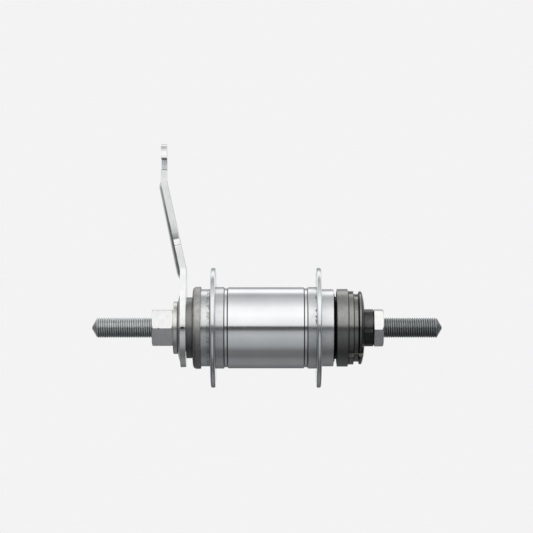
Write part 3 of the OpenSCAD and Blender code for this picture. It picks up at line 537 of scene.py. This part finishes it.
def makeRightCone(d):
    start, end = ends("right_cone")
    bore, outer = d["bore"], d["outer"]
    ballAt = start + d["ballIn"]
    flatAt = ends("driver")[1] + d["flatFrom"]
    flankEnd = ballAt + d["race"] + 0.1
    upTo = degrees(acos((d["flank"] - d["ballCircle"]) / d["race"]))
    outline = rounded(
        [(bore, start, 0.1), (d["raceIn"], start, 0.3), (d["raceIn"], ballAt - 0.05, 0)]
        + arc(d["ballCircle"], ballAt, d["race"], 180, upTo)
        + [(d["flank"], flankEnd, 0.1), (outer, flankEnd + 0.8, 0.1), (outer, flatAt - 0.05, 0),
           (outer, flatAt + 0.05, 0), (outer, end - d["chamfer"], 0.25),
           (outer - d["chamfer"], end, 0.15), (bore, end, 0.1)], 4)

    def flats(r, s, a):
        # Two opposite spanner flats outside the driver's face
        if s < flatAt:
            return r, s, a
        across = (a - radians(d["flatTurn"]) + pi / 2) % pi - pi / 2
        return min(r, (outer - d["flatDepth"]) / max(cos(across), 0.1)), s, a

    turned("right_cone", "turned", outline, "axle_set", "blackOxide", 180, flats, 25)


# Its face falls off outwards as the driver's does
coneCap = dict(inner=8.86, outer=13.3, land=0.9, fall=0.8 / 7.55)


def makeConeCap(d):
    start, end = ends("cone_dust_cap")
    inner, outer = d["inner"], d["outer"]
    outline = rounded([
        (inner, start, 0.1), (outer, start, 0.2), (outer, end - (outer - inner) * d["fall"], 0.3),
        (inner + d["land"], end - d["land"] * d["fall"], 0.2), (inner, end - 0.15, 0.1)])
    turned("cone_dust_cap", "pressed", outline, "axle_set", "blackOxide")


# Shell and flanges

hubShell = dict(end=18.397, step=19.447, barrelFall=0.1, grooveHalf=1.06, grooveFloor=0.6,
                grooveDepth=0.62, leftCup=17.277, track=15.597, leftBallCircle=14.797, leftRace=2.48,
                endStep=0.5, endStepIn=2.2, webHole=10.205, driveBallCircle=12.6, driveRace=3.275,
                driveSlope=12, driveBeyond=1.3, driveLong=10.0, driveLess=0.47)


def makeShell(d):
    left, right = ends("hub_shell")
    leftShoulder, rightShoulder = flangeLeft[1], flangeRight[0]
    endR, step, track = d["end"], d["step"], d["track"]
    middleL, middleR = grooves
    barrel = step - d["barrelFall"]
    deep = step - d["grooveDepth"]
    stepR = endR - d["endStepIn"]

    def groove(at, before, after):
        return [(before, at - d["grooveHalf"], 0.12), (deep, at - d["grooveFloor"], 0.2),
                (deep, at + d["grooveFloor"], 0.2), (after, at + d["grooveHalf"], 0.12)]

    # The drive taper narrows from the shoes' track past the clutch cone's end
    coneEnd = ends("clutch_cone")[1] + d["driveBeyond"]
    slope = tan(radians(d["driveSlope"]))
    coneEndR = track - d["driveLess"] - d["driveLong"] * slope
    coneAt = coneEnd - (track - coneEndR) / slope
    raceTo = degrees(acos((track - d["leftBallCircle"]) / d["leftRace"]))
    webAt = degrees(acos((d["webHole"] - d["driveBallCircle"]) / d["driveRace"]))
    outline = rounded(
        [(d["leftCup"], left, 0.15), (endR, left, 0.3), (endR, leftShoulder, 0), (step, leftShoulder, 0.15)]
        + groove(middleL, step, barrel)
        + groove(middleR, barrel, step)
        + [(step, rightShoulder, 0.15), (endR, rightShoulder, 0),
           (endR, right - d["endStep"], 0.3), (stepR, right - d["endStep"], 0.1),
           (stepR - 0.1, right, 0.1), (d["driveBallCircle"] + d["driveRace"], right, 0.1)]
        + arc(d["driveBallCircle"], middleOf("drive_balls"), d["driveRace"], 0, -webAt)
        + [(d["webHole"], coneEnd, 0.2), (coneEndR, coneEnd, 0.3), (track, coneAt, 0)]
        + arc(d["leftBallCircle"], middleOf("left_balls"), d["leftRace"], 0, raceTo)[::-1], 4)
    piece = turned("hub_shell", "turned", outline, "shell", "turnedBrightShell",
                   columns=256, sharp=24)
    piece.data.materials.append(made["turnedShellEnd"])
    for face in piece.data.polygons:
        station = -face.center.y / mm
        if station < middleL or station > middleR:
            face.material_index = 1


flange = dict(bore=18.407, outer=28.55, holes=18, holeCircle=25.2, holeR=1.35, sink=0.45, rim=1.1,
              fullness=3.0, across=8, patchIn=23.1, patchOut=27.3, web=21.0)


def makeFlange(node, firstTurn, d):
    start, end = ends(node)
    middle, half = (start + end) / 2, (end - start) / 2
    n = d["across"]
    verts, faces = [], []
    sector = 2 * pi / d["holes"]

    def put(r, s, a):
        verts.append(point(r, s, a))
        return len(verts) - 1

    def strip(one, two, closed=False):
        count = len(one)
        for k in range(count if closed else count - 1):
            j = (k + 1) % count
            faces.append((one[k], one[j], two[j], two[k]))

    for hole in range(d["holes"]):
        mid = radians(firstTurn) + hole * sector
        spread = [mid - sector / 2 + sector * k / n for k in range(n + 1)]
        # Square patch round the hole, walked as one loop of radius and angle
        inner, outer = d["patchIn"], d["patchOut"]
        loop = [(inner, a) for a in spread[:-1]]
        loop += [(inner + (outer - inner) * k / n, spread[-1]) for k in range(n)]
        loop += [(outer, a) for a in reversed(spread[1:])]
        loop += [(outer - (outer - inner) * k / n, spread[0]) for k in range(n)]
        centre = Vector((d["holeCircle"] * cos(mid), d["holeCircle"] * sin(mid)))
        toward = [(Vector((r * cos(a), r * sin(a))) - centre).normalized() for r, a in loop]
        wide = d["holeR"] + d["sink"]
        previous = None
        # From the patch's edge over the sink into the hole, and out again at the other face
        levels = [(None, half), (wide + 0.25, half), (wide + 0.03, half - 0.03),
                  (d["holeR"] + 0.03, half - d["sink"]), (d["holeR"], half - d["sink"] - 0.08)]
        for size, s in [(size, -s) for size, s in levels] + levels[::-1]:
            ring = []
            for (r, a), t in zip(loop, toward):
                if size is None:
                    ring.append(put(r, middle + s, a))
                else:
                    p = centre + t * size
                    ring.append(put(p.length, middle + s, atan2(p.y, p.x)))
            if previous:
                strip(previous, ring, True)
            previous = ring
        # The web inside the patch and the round rim outside it
        web = [(inner, half), (d["web"], half), (d["bore"] + 0.15, half), (d["bore"], half - 0.15)]
        web += [(r, -s) for r, s in reversed(web)]
        # The rim is full in the middle and falls off quickly to both faces
        rim = [(outer, half)]
        for k in range(19):
            a = radians(90 - 10 * k)
            out = abs(cos(a)) ** (2 / d["fullness"])
            aside = copysign(abs(sin(a)) ** (2 / d["fullness"]), sin(a))
            rim.append((d["outer"] - d["rim"] * (1 - out), half * aside))
        rim.append((outer, -half))
        for line in (web, rim):
            before = None
            for r, s in line:
                row = [put(r, middle + s, a) for a in spread]
                if before:
                    strip(before, row)
                before = row
    newPiece(node, "pressed", newMesh(verts, faces), "shell", "platedFlange", 30)


# Driver and its dust cap

driver = dict(seat=17.5, groove=16.15, grooveAt=3.1, grooveWide=2.2, mouth=13.6, body=14.9, neck=9.305,
              core=6.5, bore=5.05, lip=3.1, lipFall=0.8, lipRound=1.1, coneR=8.85, cup=12.48, cupDeep=1.9,
              slots=3, slotFloor=15.4, slotHalf=2.75, slotFoot=2.05, slotTurn=222, slotEdge=0.35,
              slotEdgeFall=0.25, capLap=0.42, ballCircle=12.6, race=3.275, innerRace=12.4, raceWall=1.3,
              rightCircle=10.0, rightRace=2.48, cupIn=7.9, boreShort=2.2, lead=24.0, starts=4, ridgeR=7.6,
              ridgeSink=0.2, ridgeSteps=60)


def makeDriver(d):
    start = ends("driver")[0]
    # The cap laps a little over the seat
    seatAt = capEnd + d["capLap"]
    ballAt, rightAt = middleOf("drive_balls"), middleOf("right_balls")
    raceAt = ballAt + d["race"] + d["raceWall"]
    boreAt = ends("right_cone")[0] - d["boreShort"]
    coreEnd = ends("clutch_cone")[1] + d["raceWall"]
    seat, groove, slotFloor = d["seat"], d["groove"], d["slotFloor"]
    grooveAt = capEnd + d["grooveAt"]
    lipAt = grooveAt + d["grooveWide"]
    face = lipAt + d["lip"]
    fall = d["lipFall"] / (seat - d["lipRound"] - d["coneR"])
    mouthAt = face - (d["mouth"] - d["coneR"]) * fall
    raceEnd = degrees(acos((d["innerRace"] - d["ballCircle"]) / d["race"]))
    cupStart = degrees(acos((d["cupIn"] - d["rightCircle"]) / d["rightRace"]))
    outline = rounded(
        [(d["bore"], start, 0.1), (d["core"], start, 0.3), (d["core"], coreEnd, 0),
         (d["neck"], coreEnd, 0.3), (d["neck"], ballAt, 0)]
        + arc(d["ballCircle"], ballAt, d["race"], 180, raceEnd)
        + [(d["innerRace"], raceAt, 0.2), (d["body"], raceAt, 0.2), (d["body"], seatAt, 0),
           (slotFloor, seatAt, 0), (seat, seatAt, 0.3), (seat, grooveAt, 0.25), (groove, grooveAt, 0.2),
           (groove, lipAt, 0.15), (seat - 0.35, lipAt + 0.25, 0.3), (seat, lipAt + 0.9, 0.5),
           (seat - 0.2, lipAt + 1.45, 0.4), (seat - 1.1, lipAt + 1.95, 0.5), (slotFloor, lipAt + 2.15, 0),
           (d["mouth"], mouthAt, 0.25), (d["mouth"], face - d["cupDeep"], 0),
           (d["cup"], face - d["cupDeep"], 0.1), (d["cup"], rightAt, 0)]
        + arc(d["rightCircle"], rightAt, d["rightRace"], 0, -cupStart)
        + [(d["cupIn"], boreAt, 0.2), (d["bore"], boreAt, 0.2)], 6)
    # Columns, each an angle and the half slot it belongs to: 0 open seat, 1 slot floor, and at each
    # wall a pair, 2 at its foot and 3 at its rounded edge, with 4 where the rounding starts
    edge = asin(d["slotFoot"] / slotFloor)
    lapse = asin(d["slotHalf"] / seat) + d["slotEdge"] / seat
    columns = []
    for k in range(d["slots"]):
        c = radians(d["slotTurn"] + 360 * k / d["slots"])
        columns += [(c, -lapse, 4), (c, -edge, 3), (c, -edge, 2), (c, edge, 2), (c, edge, 3), (c, lapse, 4)]
        columns += [(c, edge * (m / 4 - 1), 1) for m in range(1, 8)]
        gap = 2 * pi / d["slots"] - 2 * lapse
        columns += [(c, lapse + gap * m / 66, 0) for m in range(1, 66)]
    order = {-1: {4: 0, 3: 1, 2: 2}, 1: {2: 0, 3: 1, 4: 2}}
    columns.sort(key=lambda p: (round(p[0] + p[1], 7), order[1 if p[1] > 0 else -1].get(p[2], 0)))
    verts = []
    for c, off, kind in columns:
        for r, s in outline:
            a = c + off
            if s > seatAt - 0.01 and r > slotFloor:
                if kind in (1, 2):
                    r = slotFloor
                elif kind == 3:
                    # The wall leans out from its foot, and its edge is rounded off
                    r = max(r - d["slotEdgeFall"], slotFloor + 0.05)
                    up = (r - slotFloor) / (seat - slotFloor)
                    wide = d["slotFoot"] + (d["slotHalf"] - d["slotFoot"]) * up
                    a = c + copysign(asin(wide / r), off)
            verts.append(point(r, s, a))
    faces = wrapped(len(columns), len(outline))
    # The screw's ridges, sunk a little into the core
    pitch = d["lead"] / d["starts"]
    foot, crest = pitch * 0.55, pitch * 0.35
    low, steps = d["core"] - d["ridgeSink"], d["ridgeSteps"]
    first = start + foot / 2 + 0.3
    last = coreEnd - foot / 2 - 0.6
    for k in range(d["starts"]):
        base = len(verts)
        for i in range(steps + 1):
            s = first + (last - first) * i / steps
            a = 2 * pi * (k / d["starts"] + (s - start) / d["lead"])
            for r, w in ((low, -foot), (d["ridgeR"], -crest), (d["ridgeR"], crest), (low, foot)):
                verts.append(point(r, s + w / 2, a))
        for i in range(base, base + 4 * steps, 4):
            for q in range(4):
                p = (q + 1) % 4
                faces.append((i + q, i + p, i + 4 + p, i + 4 + q))
        faces.append((base + 3, base + 2, base + 1, base))
        top = base + 4 * steps
        faces.append((top, top + 1, top + 2, top + 3))
    mesh = newMesh(verts, faces)
    piece = newPiece("driver", "turned", mesh, "driver", "driverSteelPaintedShade", 35)
    # Painted light: the walls of the slots get that wall finish
    piece.data.materials.append(made["slotWallPaintedLight"])
    share = 360 / d["slots"]
    for part in piece.data.polygons:
        x, z = part.center.x / mm, part.center.z / mm
        a = atan2(z, x)
        off = (degrees(a) - d["slotTurn"] + share / 2) % share - share / 2
        facesRound = abs(part.normal.x * sin(a) - part.normal.z * cos(a)) > 0.7
        onWall = abs(abs(radians(off)) - edge) < 0.06 and slotFloor < hypot(x, z) < seat
        if onWall and facesRound and -part.center.y / mm > seatAt:
            part.material_index = 1


driverCap = dict(bore=14.91, inside=17.3, outer=18.5, wall=0.85, back=0.5)


def makeDriverCap(d):
    start, end = capStart + d["back"], capEnd + driver["capLap"]
    outline = rounded([
        (d["bore"], end, 0.1), (d["bore"], end - d["wall"], 0.1), (d["inside"], end - d["wall"], 0.15),
        (d["inside"], start, 0.2), (d["outer"], start, 0.35), (d["outer"], end, 0.32)])
    turned("driver_dust_cap", "pressed", outline, "driver", "bakedBrownCap")


# Brake arm: one pressed sheet, drawn as its outer face and then given its thickness

brakeArm = dict(thickness=2.7, bossTop=12.5, bossFoot=17.5, bossHigh=1.4, baseR=18.8, top=87.4,
                bendLow=26.0, bendHigh=71.0, bendR=12.0, offset=9.3, halfTop=9.0, taper=2.0, waist=11.5,
                cornerR=6.5, edge=0.42, slotZ=77.8, slotR=2.9, slotX=0.5, ribR=5.7, ribH=2.2, ribLow=26.0,
                ribHigh=66.0, ribFall=0.018, ribFallFrom=30, holeR=8.65, holeHalf=7.15, dimple=1.4,
                dimpleDeep=1.0, dimpleX=-18.9, dimpleZ=-0.2, dimpleReach=1.45, shadeRadiusIn=12.0, shadeRadiusOut=18.1,
                ribShadeFrom=22.0, ribShadeTo=68.0, ribSteep=0.52)


def softMin(a, b, k):
    h = max(k - abs(a - b), 0) / k
    return min(a, b) - h * h * k / 4


def makeArm(d):
    bossAt = ends("arm_washer")[1]
    plateAt = bossAt + d["bossHigh"]
    t, bendR = d["thickness"], d["bendR"]
    highAt = plateAt - d["offset"]
    rise = d["bendHigh"] - d["bendLow"]
    total = 2 * bendR + t
    slope = asin(total / hypot(rise, total - d["offset"])) - atan2(total - d["offset"], rise)
    lowEnd = (plateAt - bendR + bendR * cos(slope), d["bendLow"] + bendR * sin(slope))

    def slanted(z):
        return lowEnd[0] - (z - lowEnd[1]) * tan(slope)

    def plate(z):
        if z < d["bendLow"]:
            return plateAt
        if z < lowEnd[1]:
            return plateAt - bendR + sqrt(bendR ** 2 - (z - d["bendLow"]) ** 2)
        if z < d["bendHigh"] - (bendR + t) * sin(slope):
            return slanted(z)
        if z < d["bendHigh"]:
            return highAt + t + bendR - sqrt((bendR + t) ** 2 - (d["bendHigh"] - z) ** 2)
        return highAt

    def outerFace(x, z):
        s = plate(z)
        fromAxle = hypot(x, z)
        boss = bossAt + (plateAt - bossAt) * (fromAxle - d["bossTop"]) / (d["bossFoot"] - d["bossTop"])
        boss = -softMin(-boss, -bossAt, 0.5)
        s = softMin(s, boss, 0.5)
        # The rib is a round bar along the slant, its axis under the face
        past = max(d["ribLow"] - z, z - d["ribHigh"], 0) / cos(slope)
        off = hypot(x, past)
        if off < d["ribR"]:
            lift = sqrt(d["ribR"] ** 2 - off ** 2) - (d["ribR"] - d["ribH"])
            # It stands out less towards its top
            lift -= max(0, z - d["ribFallFrom"]) * d["ribFall"]
            s = softMin(s, slanted(z) - lift / cos(slope), 0.9)
        return s

    # Where the sides of the outline lie at a height
    waistZ = d["bendLow"] + 2
    touch = atan2(waistZ, d["waist"]) - acos(d["baseR"] / hypot(d["waist"], waistZ))
    touchX, touchZ = d["baseR"] * cos(touch), d["baseR"] * sin(touch)
    half = d["halfTop"]
    shoulderZ = d["top"] - d["cornerR"]
    front = [(touchX, touchZ), (d["waist"], waistZ), (half, 47), (half, shoulderZ)]
    # The rear side has a small ledge, and narrows above it
    rear = [(touchX, touchZ), (d["waist"], waistZ), (half + 1.5, 38.6), (half + 1.32, 38.9),
            (half + 1.45, 39.2), (half + 0.3, 41.3), (half + 0.2, 41.5), (half + 0.18, 43),
            (half + 0.14, 44.5), (half + 0.07, 46.2), (half - 0.02, 48), (half - d["taper"], shoulderZ)]

    def side(line, z):
        if z <= touchZ:
            return sqrt(max(d["baseR"] ** 2 - z * z, 0))
        if z >= shoulderZ:
            return line[-1][0] - d["cornerR"] + sqrt(max(d["cornerR"] ** 2 - (z - shoulderZ) ** 2, 0))
        for (x1, z1), (x2, z2) in zip(line, line[1:]):
            if z1 <= z <= z2:
                return x1 + (x2 - x1) * (z - z1) / (z2 - z1)
        return half

    # Rows of the sheet: round the base, up to the low bend and through it, closer together at the rear
    # side's ledge, and then past the slot and over the rounded top
    slotLow, slotHigh = d["slotZ"] - d["slotR"], d["slotZ"] + d["slotR"]
    heights = [-d["baseR"] * cos(radians(4 + 86 * k / 30)) for k in range(31)]
    heights += [z * 0.65 for z in range(1, 40)]
    heights += [26 + 0.62 * k for k in range(0, 23)] + [39.0 + 0.5 * k for k in range(1, 17)]
    heights += [47 + (slotLow - 47) * k / 42 for k in range(43)] + [38.6, 38.75, 38.9, 39.05, 39.2]
    heights += [d["slotZ"] - d["slotR"] * cos(pi * k / 14) for k in range(1, 15)]
    heights += [shoulderZ + d["cornerR"] * sin(radians(88 * k / 12)) for k in range(13)]
    heights = sorted(set(round(z, 4) for z in heights))
    rearCount, frontCount = 22, 20
    width = rearCount + frontCount + 1
    verts, faces = [], []
    for z in heights:
        left, right = -side(rear, z), side(front, z)
        split = d["slotX"]
        if slotLow < z < slotHigh:
            split += sqrt(max(d["slotR"] ** 2 - (z - d["slotZ"]) ** 2, 0))
        xs = [left + (split - left) * k / rearCount for k in range(rearCount)]
        xs += [split + (right - split) * k / frontCount for k in range(frontCount + 1)]
        for x in xs:
            verts.append((x * mm, -outerFace(x, z) * mm, z * mm))
    for i in range(len(heights) - 1):
        z = (heights[i] + heights[i + 1]) / 2
        for k in range(width - 1):
            if k < rearCount and slotLow < z < slotHigh:
                continue
            face = (i * width + k, i * width + k + 1, (i + 1) * width + k + 1, (i + 1) * width + k)
            x = sum(verts[v][0] for v in face) / 4 / mm
            if hypot(x, z) < d["holeR"] and abs(x) < d["holeHalf"]:
                continue
            faces.append(face)
    mesh = newMesh(verts, faces)
    shape = bmesh.new()
    shape.from_mesh(mesh)
    bmesh.ops.delete(shape, geom=[v for v in shape.verts if not v.link_faces], context="VERTS")
    # Draw the ragged edge of the keyed hole on to its true outline
    for v in shape.verts:
        x, z = v.co.x / mm, v.co.z / mm
        if v.is_boundary and hypot(x, z) < d["holeR"] + 1.5 and abs(z) < 12:
            r = hypot(x, z)
            x, z = x * d["holeR"] / r, z * d["holeR"] / r
            x = max(-d["holeHalf"], min(d["holeHalf"], x))
            v.co.x, v.co.z = x * mm, z * mm
    bmesh.ops.recalc_face_normals(shape, faces=shape.faces)
    shape.faces.ensure_lookup_table()
    if sum(f.normal.y for f in shape.faces) < 0:
        bmesh.ops.reverse_faces(shape, faces=shape.faces)
    shape.to_mesh(mesh)
    shape.free()
    plain = newObject("plain", mesh)
    solid = plain.modifiers.new("thickness", "SOLIDIFY")
    solid.thickness = t * mm
    solid.offset = -1
    solid.use_even_offset = True
    edge = plain.modifiers.new("edge", "BEVEL")
    edge.width = d["edge"] * mm
    edge.segments = 3
    edge.limit_method = "ANGLE"
    edge.angle_limit = radians(50)
    # Dimple punched in the rear edge of the base
    midAt = plateAt + t / 2
    cutter = bmesh.new()
    bmesh.ops.create_cone(cutter, cap_ends=True, segments=32, radius1=0.02 * mm,
                          radius2=2 * d["dimple"] * mm, depth=2 * d["dimpleDeep"] * mm)
    bmesh.ops.rotate(cutter, verts=cutter.verts, matrix=Matrix.Rotation(-pi / 2, 3, "Y"))
    at = (d["dimpleX"] * mm, -midAt * mm, d["dimpleZ"] * mm)
    bmesh.ops.translate(cutter, verts=cutter.verts, vec=at)
    punch = newObject("dimple", meshOf("dimple", cutter))
    cut = plain.modifiers.new("dimple", "BOOLEAN")
    cut.object = punch
    cut.solver = "FAST"
    bpy.context.view_layer.update()
    final = bpy.data.meshes.new_from_object(plain.evaluated_get(bpy.context.evaluated_depsgraph_get()))
    bpy.data.objects.remove(plain)
    bpy.data.objects.remove(punch)
    final.materials.clear()
    piece = newPiece("brake_arm", "pressed", final, "axle_set", "zincPlatedPressing", 30)
    # The slot's wall is matte as the punch sheared it, and lighter as painted light; painted shade lies
    # round the washer, along the rib's foot, on the slot's ceiling and floor and in the upper right of the
    # dimple
    for finish in ("shearedZincPaintedLight", "zincPaintedShade", "blackPaintedShade"):
        piece.data.materials.append(made[finish])
    shearedLitFace, shadedFace, darkestFace = 1, 2, 3
    for face in piece.data.polygons:
        x, y, z = [c / mm for c in face.center]
        normal = face.normal
        if d["shadeRadiusIn"] < hypot(x, z) < d["shadeRadiusOut"] and normal.y > 0.5:
            face.material_index = shadedFace
        onRib = d["ribShadeFrom"] < z < d["ribShadeTo"] and abs(x) < d["ribR"]
        if onRib and normal.y > 0.2 and normal.x < -d["ribSteep"]:
            face.material_index = shadedFace
        corners = [piece.data.vertices[v].co / mm for v in face.vertices]
        reach = max(hypot(c.z - d["dimpleZ"], -c.y - midAt) for c in corners)
        inDimple = reach < d["dimpleReach"] and max(c.x for c in corners) < -17
        if inDimple and z - d["dimpleZ"] - y - midAt > -0.5:
            face.material_index = darkestFace
        inSlot = slotLow < z < slotHigh and 0.2 - half < x < d["slotX"] + d["slotR"] + 0.2
        if inSlot and abs(normal.y) < 0.3:
            face.material_index = shadedFace if abs(normal.z) > 0.75 else shearedLitFace


makeAxle(axle)
makeNut("arm_locknut", 0, True, (True, True), hexNut)
makeNut("right_locknut", 3.6, False, (False, True), hexNut)
makeWasher(washer)
makeLeftCap(leftCap)
makeRightCone(rightCone)
makeConeCap(coneCap)
print("axle, nuts, washer and caps made")
makeShell(hubShell)
makeFlange("flange_left", 90, flange)
makeFlange("flange_right", 100, flange)
print("shell and flanges made")
makeDriver(driver)
makeDriverCap(driverCap)
print("driver made")
makeArm(brakeArm)
print("brake arm made")

# Nodes whose own shape is right get a finish
kept = {
    "darkPhosphate": ["brake_cone"], "groundClutchSteel": ["clutch_cone"],
    "drawnSpringWire": ["clutch_spring"],
    "polishedBearingSteel": ["left_balls", "drive_balls", "right_balls"],
    "strawTintedCage": ["left_ball_cage", "drive_ball_cage", "right_ball_cage"],
    "rubbedShoeMetal": ["brake_shoe_" + str(k) for k in range(1, 5)],
}
for finish, names in kept.items():
    for name in names:
        for slot in nodes[name].material_slots:
            slot.material = made[finish]
print("kept nodes finished:", sum(len(names) for names in kept.values()))

# Studio: a light tent seen in the metal, round the axle. Each stop is an angle in the plane
# across the axle, 0 towards the camera, 90 straight up, and how bright the tent is there.
studio = {
    "tent": [
        (-180, 0.90), (-174, 0.90), (-166, 0.14), (-145, 0.18), (-120, 0.27), (-100, 0.25), (-86, 0.18),
        (-66, 0.20), (-50, 0.42), (-20, 0.60), (-10, 0.52), (-4, 0.14), (4.5, 0.07), (7, 1.00), (14, 1.15),
        (38, 1.35), (58, 1.25), (82, 0.80), (102, 0.56), (112, 0.60), (120, 1.15), (128, 1.40),
        (138, 1.15), (150, 0.42), (168, 0.40), (174, 0.90), (180, 0.90)],
    # The tent's sides, by height: dark at the foot, light above the hub, dim at the top
    "sides": [
        (-1, 0.03), (-0.25, 0.04), (-0.06, 0.09), (0.06, 0.09), (0.14, 0.90), (0.45, 1.20), (0.8, 1.25),
        (0.9, 0.40), (1, 0.30)],
    # The tent's ends, by height
    "lids": [(-1, 0.20), (-0.5, 0.26), (-0.2, 0.32), (0.1, 0.38), (0.35, 0.65), (0.7, 0.8), (1, 0.7)],
    # How far along the axle the front goes over into the sides, and they into the ends
    "sideSpan": (0.12, 0.55), "lidSpan": (0.66, 0.86),
    "behind": 0.75, "backdrop": 0.896, "tentR": 1.35, "tentHalf": 1.6, "floorZ": -0.3, "floorR": 1.1,
}


def glowStops(levels, reach):
    # Half the level is kept in the ramp, whose colours end at 1; the tent's strength doubles it again
    stops = []
    for place, level in levels:
        # The dim parts are slightly blue
        cool = 0.03 if level < 0.8 else 0.0
        colour = (level * (1 - cool) / 2, level / 2, level * (1 + cool) / 2, 1.0)
        stops.append(((place + reach) / (2 * reach), colour))
    return stops


def tentLight(tree, way, d):
    # Brightness of the tent for a direction from the middle of the hub
    unit = add(tree, "VectorMath", {0: way}, operation="NORMALIZE")[0]
    x, y, z = add(tree, "SeparateXYZ", {0: unit})
    toCamera = add(tree, "Math", {0: x, 1: -1.0}, operation="MULTIPLY")[0]
    angle = add(tree, "Math", {0: z, 1: toCamera}, operation="ARCTAN2")[0]
    share = add(tree, "MapRange", {"Value": angle, "From Min": -pi, "From Max": pi})[0]
    colour = add(tree, "ValToRGB", {"Fac": share}, stops=glowStops(d["tent"], 180))[0]
    height = add(tree, "MapRange", {"Value": z, "From Min": -1.0})[0]
    sides = add(tree, "ValToRGB", {"Fac": height}, stops=glowStops(d["sides"], 1))[0]
    # The backdrop is wide, so the sides are light behind the hub
    behind = add(tree, "MapRange", {"Value": x, "From Min": 0.35, "From Max": 0.8})[0]
    steep = add(tree, "Math", {0: z}, operation="ABSOLUTE")[0]
    level = add(tree, "MapRange", {
        "Value": steep, "From Min": 0.25, "From Max": 0.5, "To Min": 1.0, "To Max": 0.0})[0]
    behind = add(tree, "Math", {0: behind, 1: level}, operation="MULTIPLY")[0]
    pale = (d["behind"] / 2,) * 3 + (1.0,)
    sides = add(tree, "Mix", {"Factor": behind, 6: sides, 7: pale}, data_type="RGBA")[2]
    # The drum's two ends face the arm and the flanges
    lids = add(tree, "ValToRGB", {"Fac": height}, stops=glowStops(d["lids"], 1))[0]
    sideways = add(tree, "Math", {0: y}, operation="ABSOLUTE")[0]
    for wall, (start, end) in ((sides, d["sideSpan"]), (lids, d["lidSpan"])):
        toWall = add(tree, "MapRange", {"Value": sideways, "From Min": start, "From Max": end},
                     interpolation_type="SMOOTHSTEP")[0]
        colour = add(tree, "Mix", {"Factor": toWall, 6: colour, 7: wall}, data_type="RGBA")[2]
    return colour


def stageObject(name, shape, finish):
    # The object has a material whose nodes are still to be made
    item = newObject(name, meshOf(name, shape))
    material = bpy.data.materials.new(finish)
    material.use_nodes = True
    material.node_tree.nodes.clear()
    item.data.materials.append(material)
    return item, material


def makeStudio(d):
    backdrop = (d["backdrop"],) * 3 + (1.0,)
    world = bpy.data.worlds.new("tent")
    bpy.context.scene.world = world
    world.use_nodes = True
    tree = world.node_tree
    tree.nodes.clear()
    plain = add(tree, "Background", {"Color": backdrop, "Strength": 1.0})[0]
    add(tree, "OutputWorld", {"Surface": plain})

    # The tent is a wide drum, near enough for the tall arm to see it shifted
    drum = bmesh.new()
    bmesh.ops.create_cone(drum, cap_ends=True, segments=72, radius1=d["tentR"], radius2=d["tentR"],
                          depth=2 * d["tentHalf"])
    bmesh.ops.rotate(drum, verts=drum.verts, matrix=Matrix.Rotation(pi / 2, 3, "X"))
    tent, cloth = stageObject("lightTent", drum, "glowingCloth")
    tent.visible_camera = False
    cloth.cycles.emission_sampling = "NONE"
    tree = cloth.node_tree
    glow = tentLight(tree, add(tree, "TexCoord")["Object"], d)
    shine = add(tree, "Emission", {"Color": glow, "Strength": 2.0})[0]
    add(tree, "OutputMaterial", {"Surface": shine})

    # Floor: pale, fading into the backdrop at its edge
    disc = bmesh.new()
    bmesh.ops.create_circle(disc, cap_ends=True, segments=96, radius=d["floorR"])
    floor, sheet = stageObject("floor", disc, "palePaper")
    floor.location.z = d["floorZ"]
    floor.visible_glossy = False
    tree = sheet.node_tree
    place = add(tree, "TexCoord")["Object"]
    away = add(tree, "VectorMath", {0: place}, operation="LENGTH")["Value"]
    fade = add(tree, "MapRange", {
        "Value": away, "From Min": d["floorR"] * 0.3, "From Max": d["floorR"] * 0.98, "To Min": 0.45},
        interpolation_type="SMOOTHSTEP")[0]
    paper = add(tree, "BsdfDiffuse", {"Color": (0.9, 0.9, 0.9, 1.0)})[0]
    glow = add(tree, "Emission", {"Color": backdrop, "Strength": 1.0})[0]
    mixed = add(tree, "MixShader", {0: fade, 1: paper, 2: glow})[0]
    seen = add(tree, "LightPath")["Is Camera Ray"]
    both = add(tree, "MixShader", {0: seen, 1: paper, 2: mixed})[0]
    add(tree, "OutputMaterial", {"Surface": both})


makeStudio(studio)

# The photograph's view: level with the hub, square to the axle, from some way off
camera = dict(distance=1.25, y=0.0006, z=0.0292, lens=177.2)
cameraData = bpy.data.cameras.new("camera")
cameraData.lens = camera["lens"]
cameraData.sensor_width = 36.0
cameraObject = newObject("camera", cameraData)
cameraObject.location = (-camera["distance"], camera["y"], camera["z"])
cameraObject.rotation_euler = (pi / 2, 0, -pi / 2)
bpy.context.scene.camera = cameraObject
bpy.context.scene.view_settings.view_transform = "Standard"
print("studio and camera made")
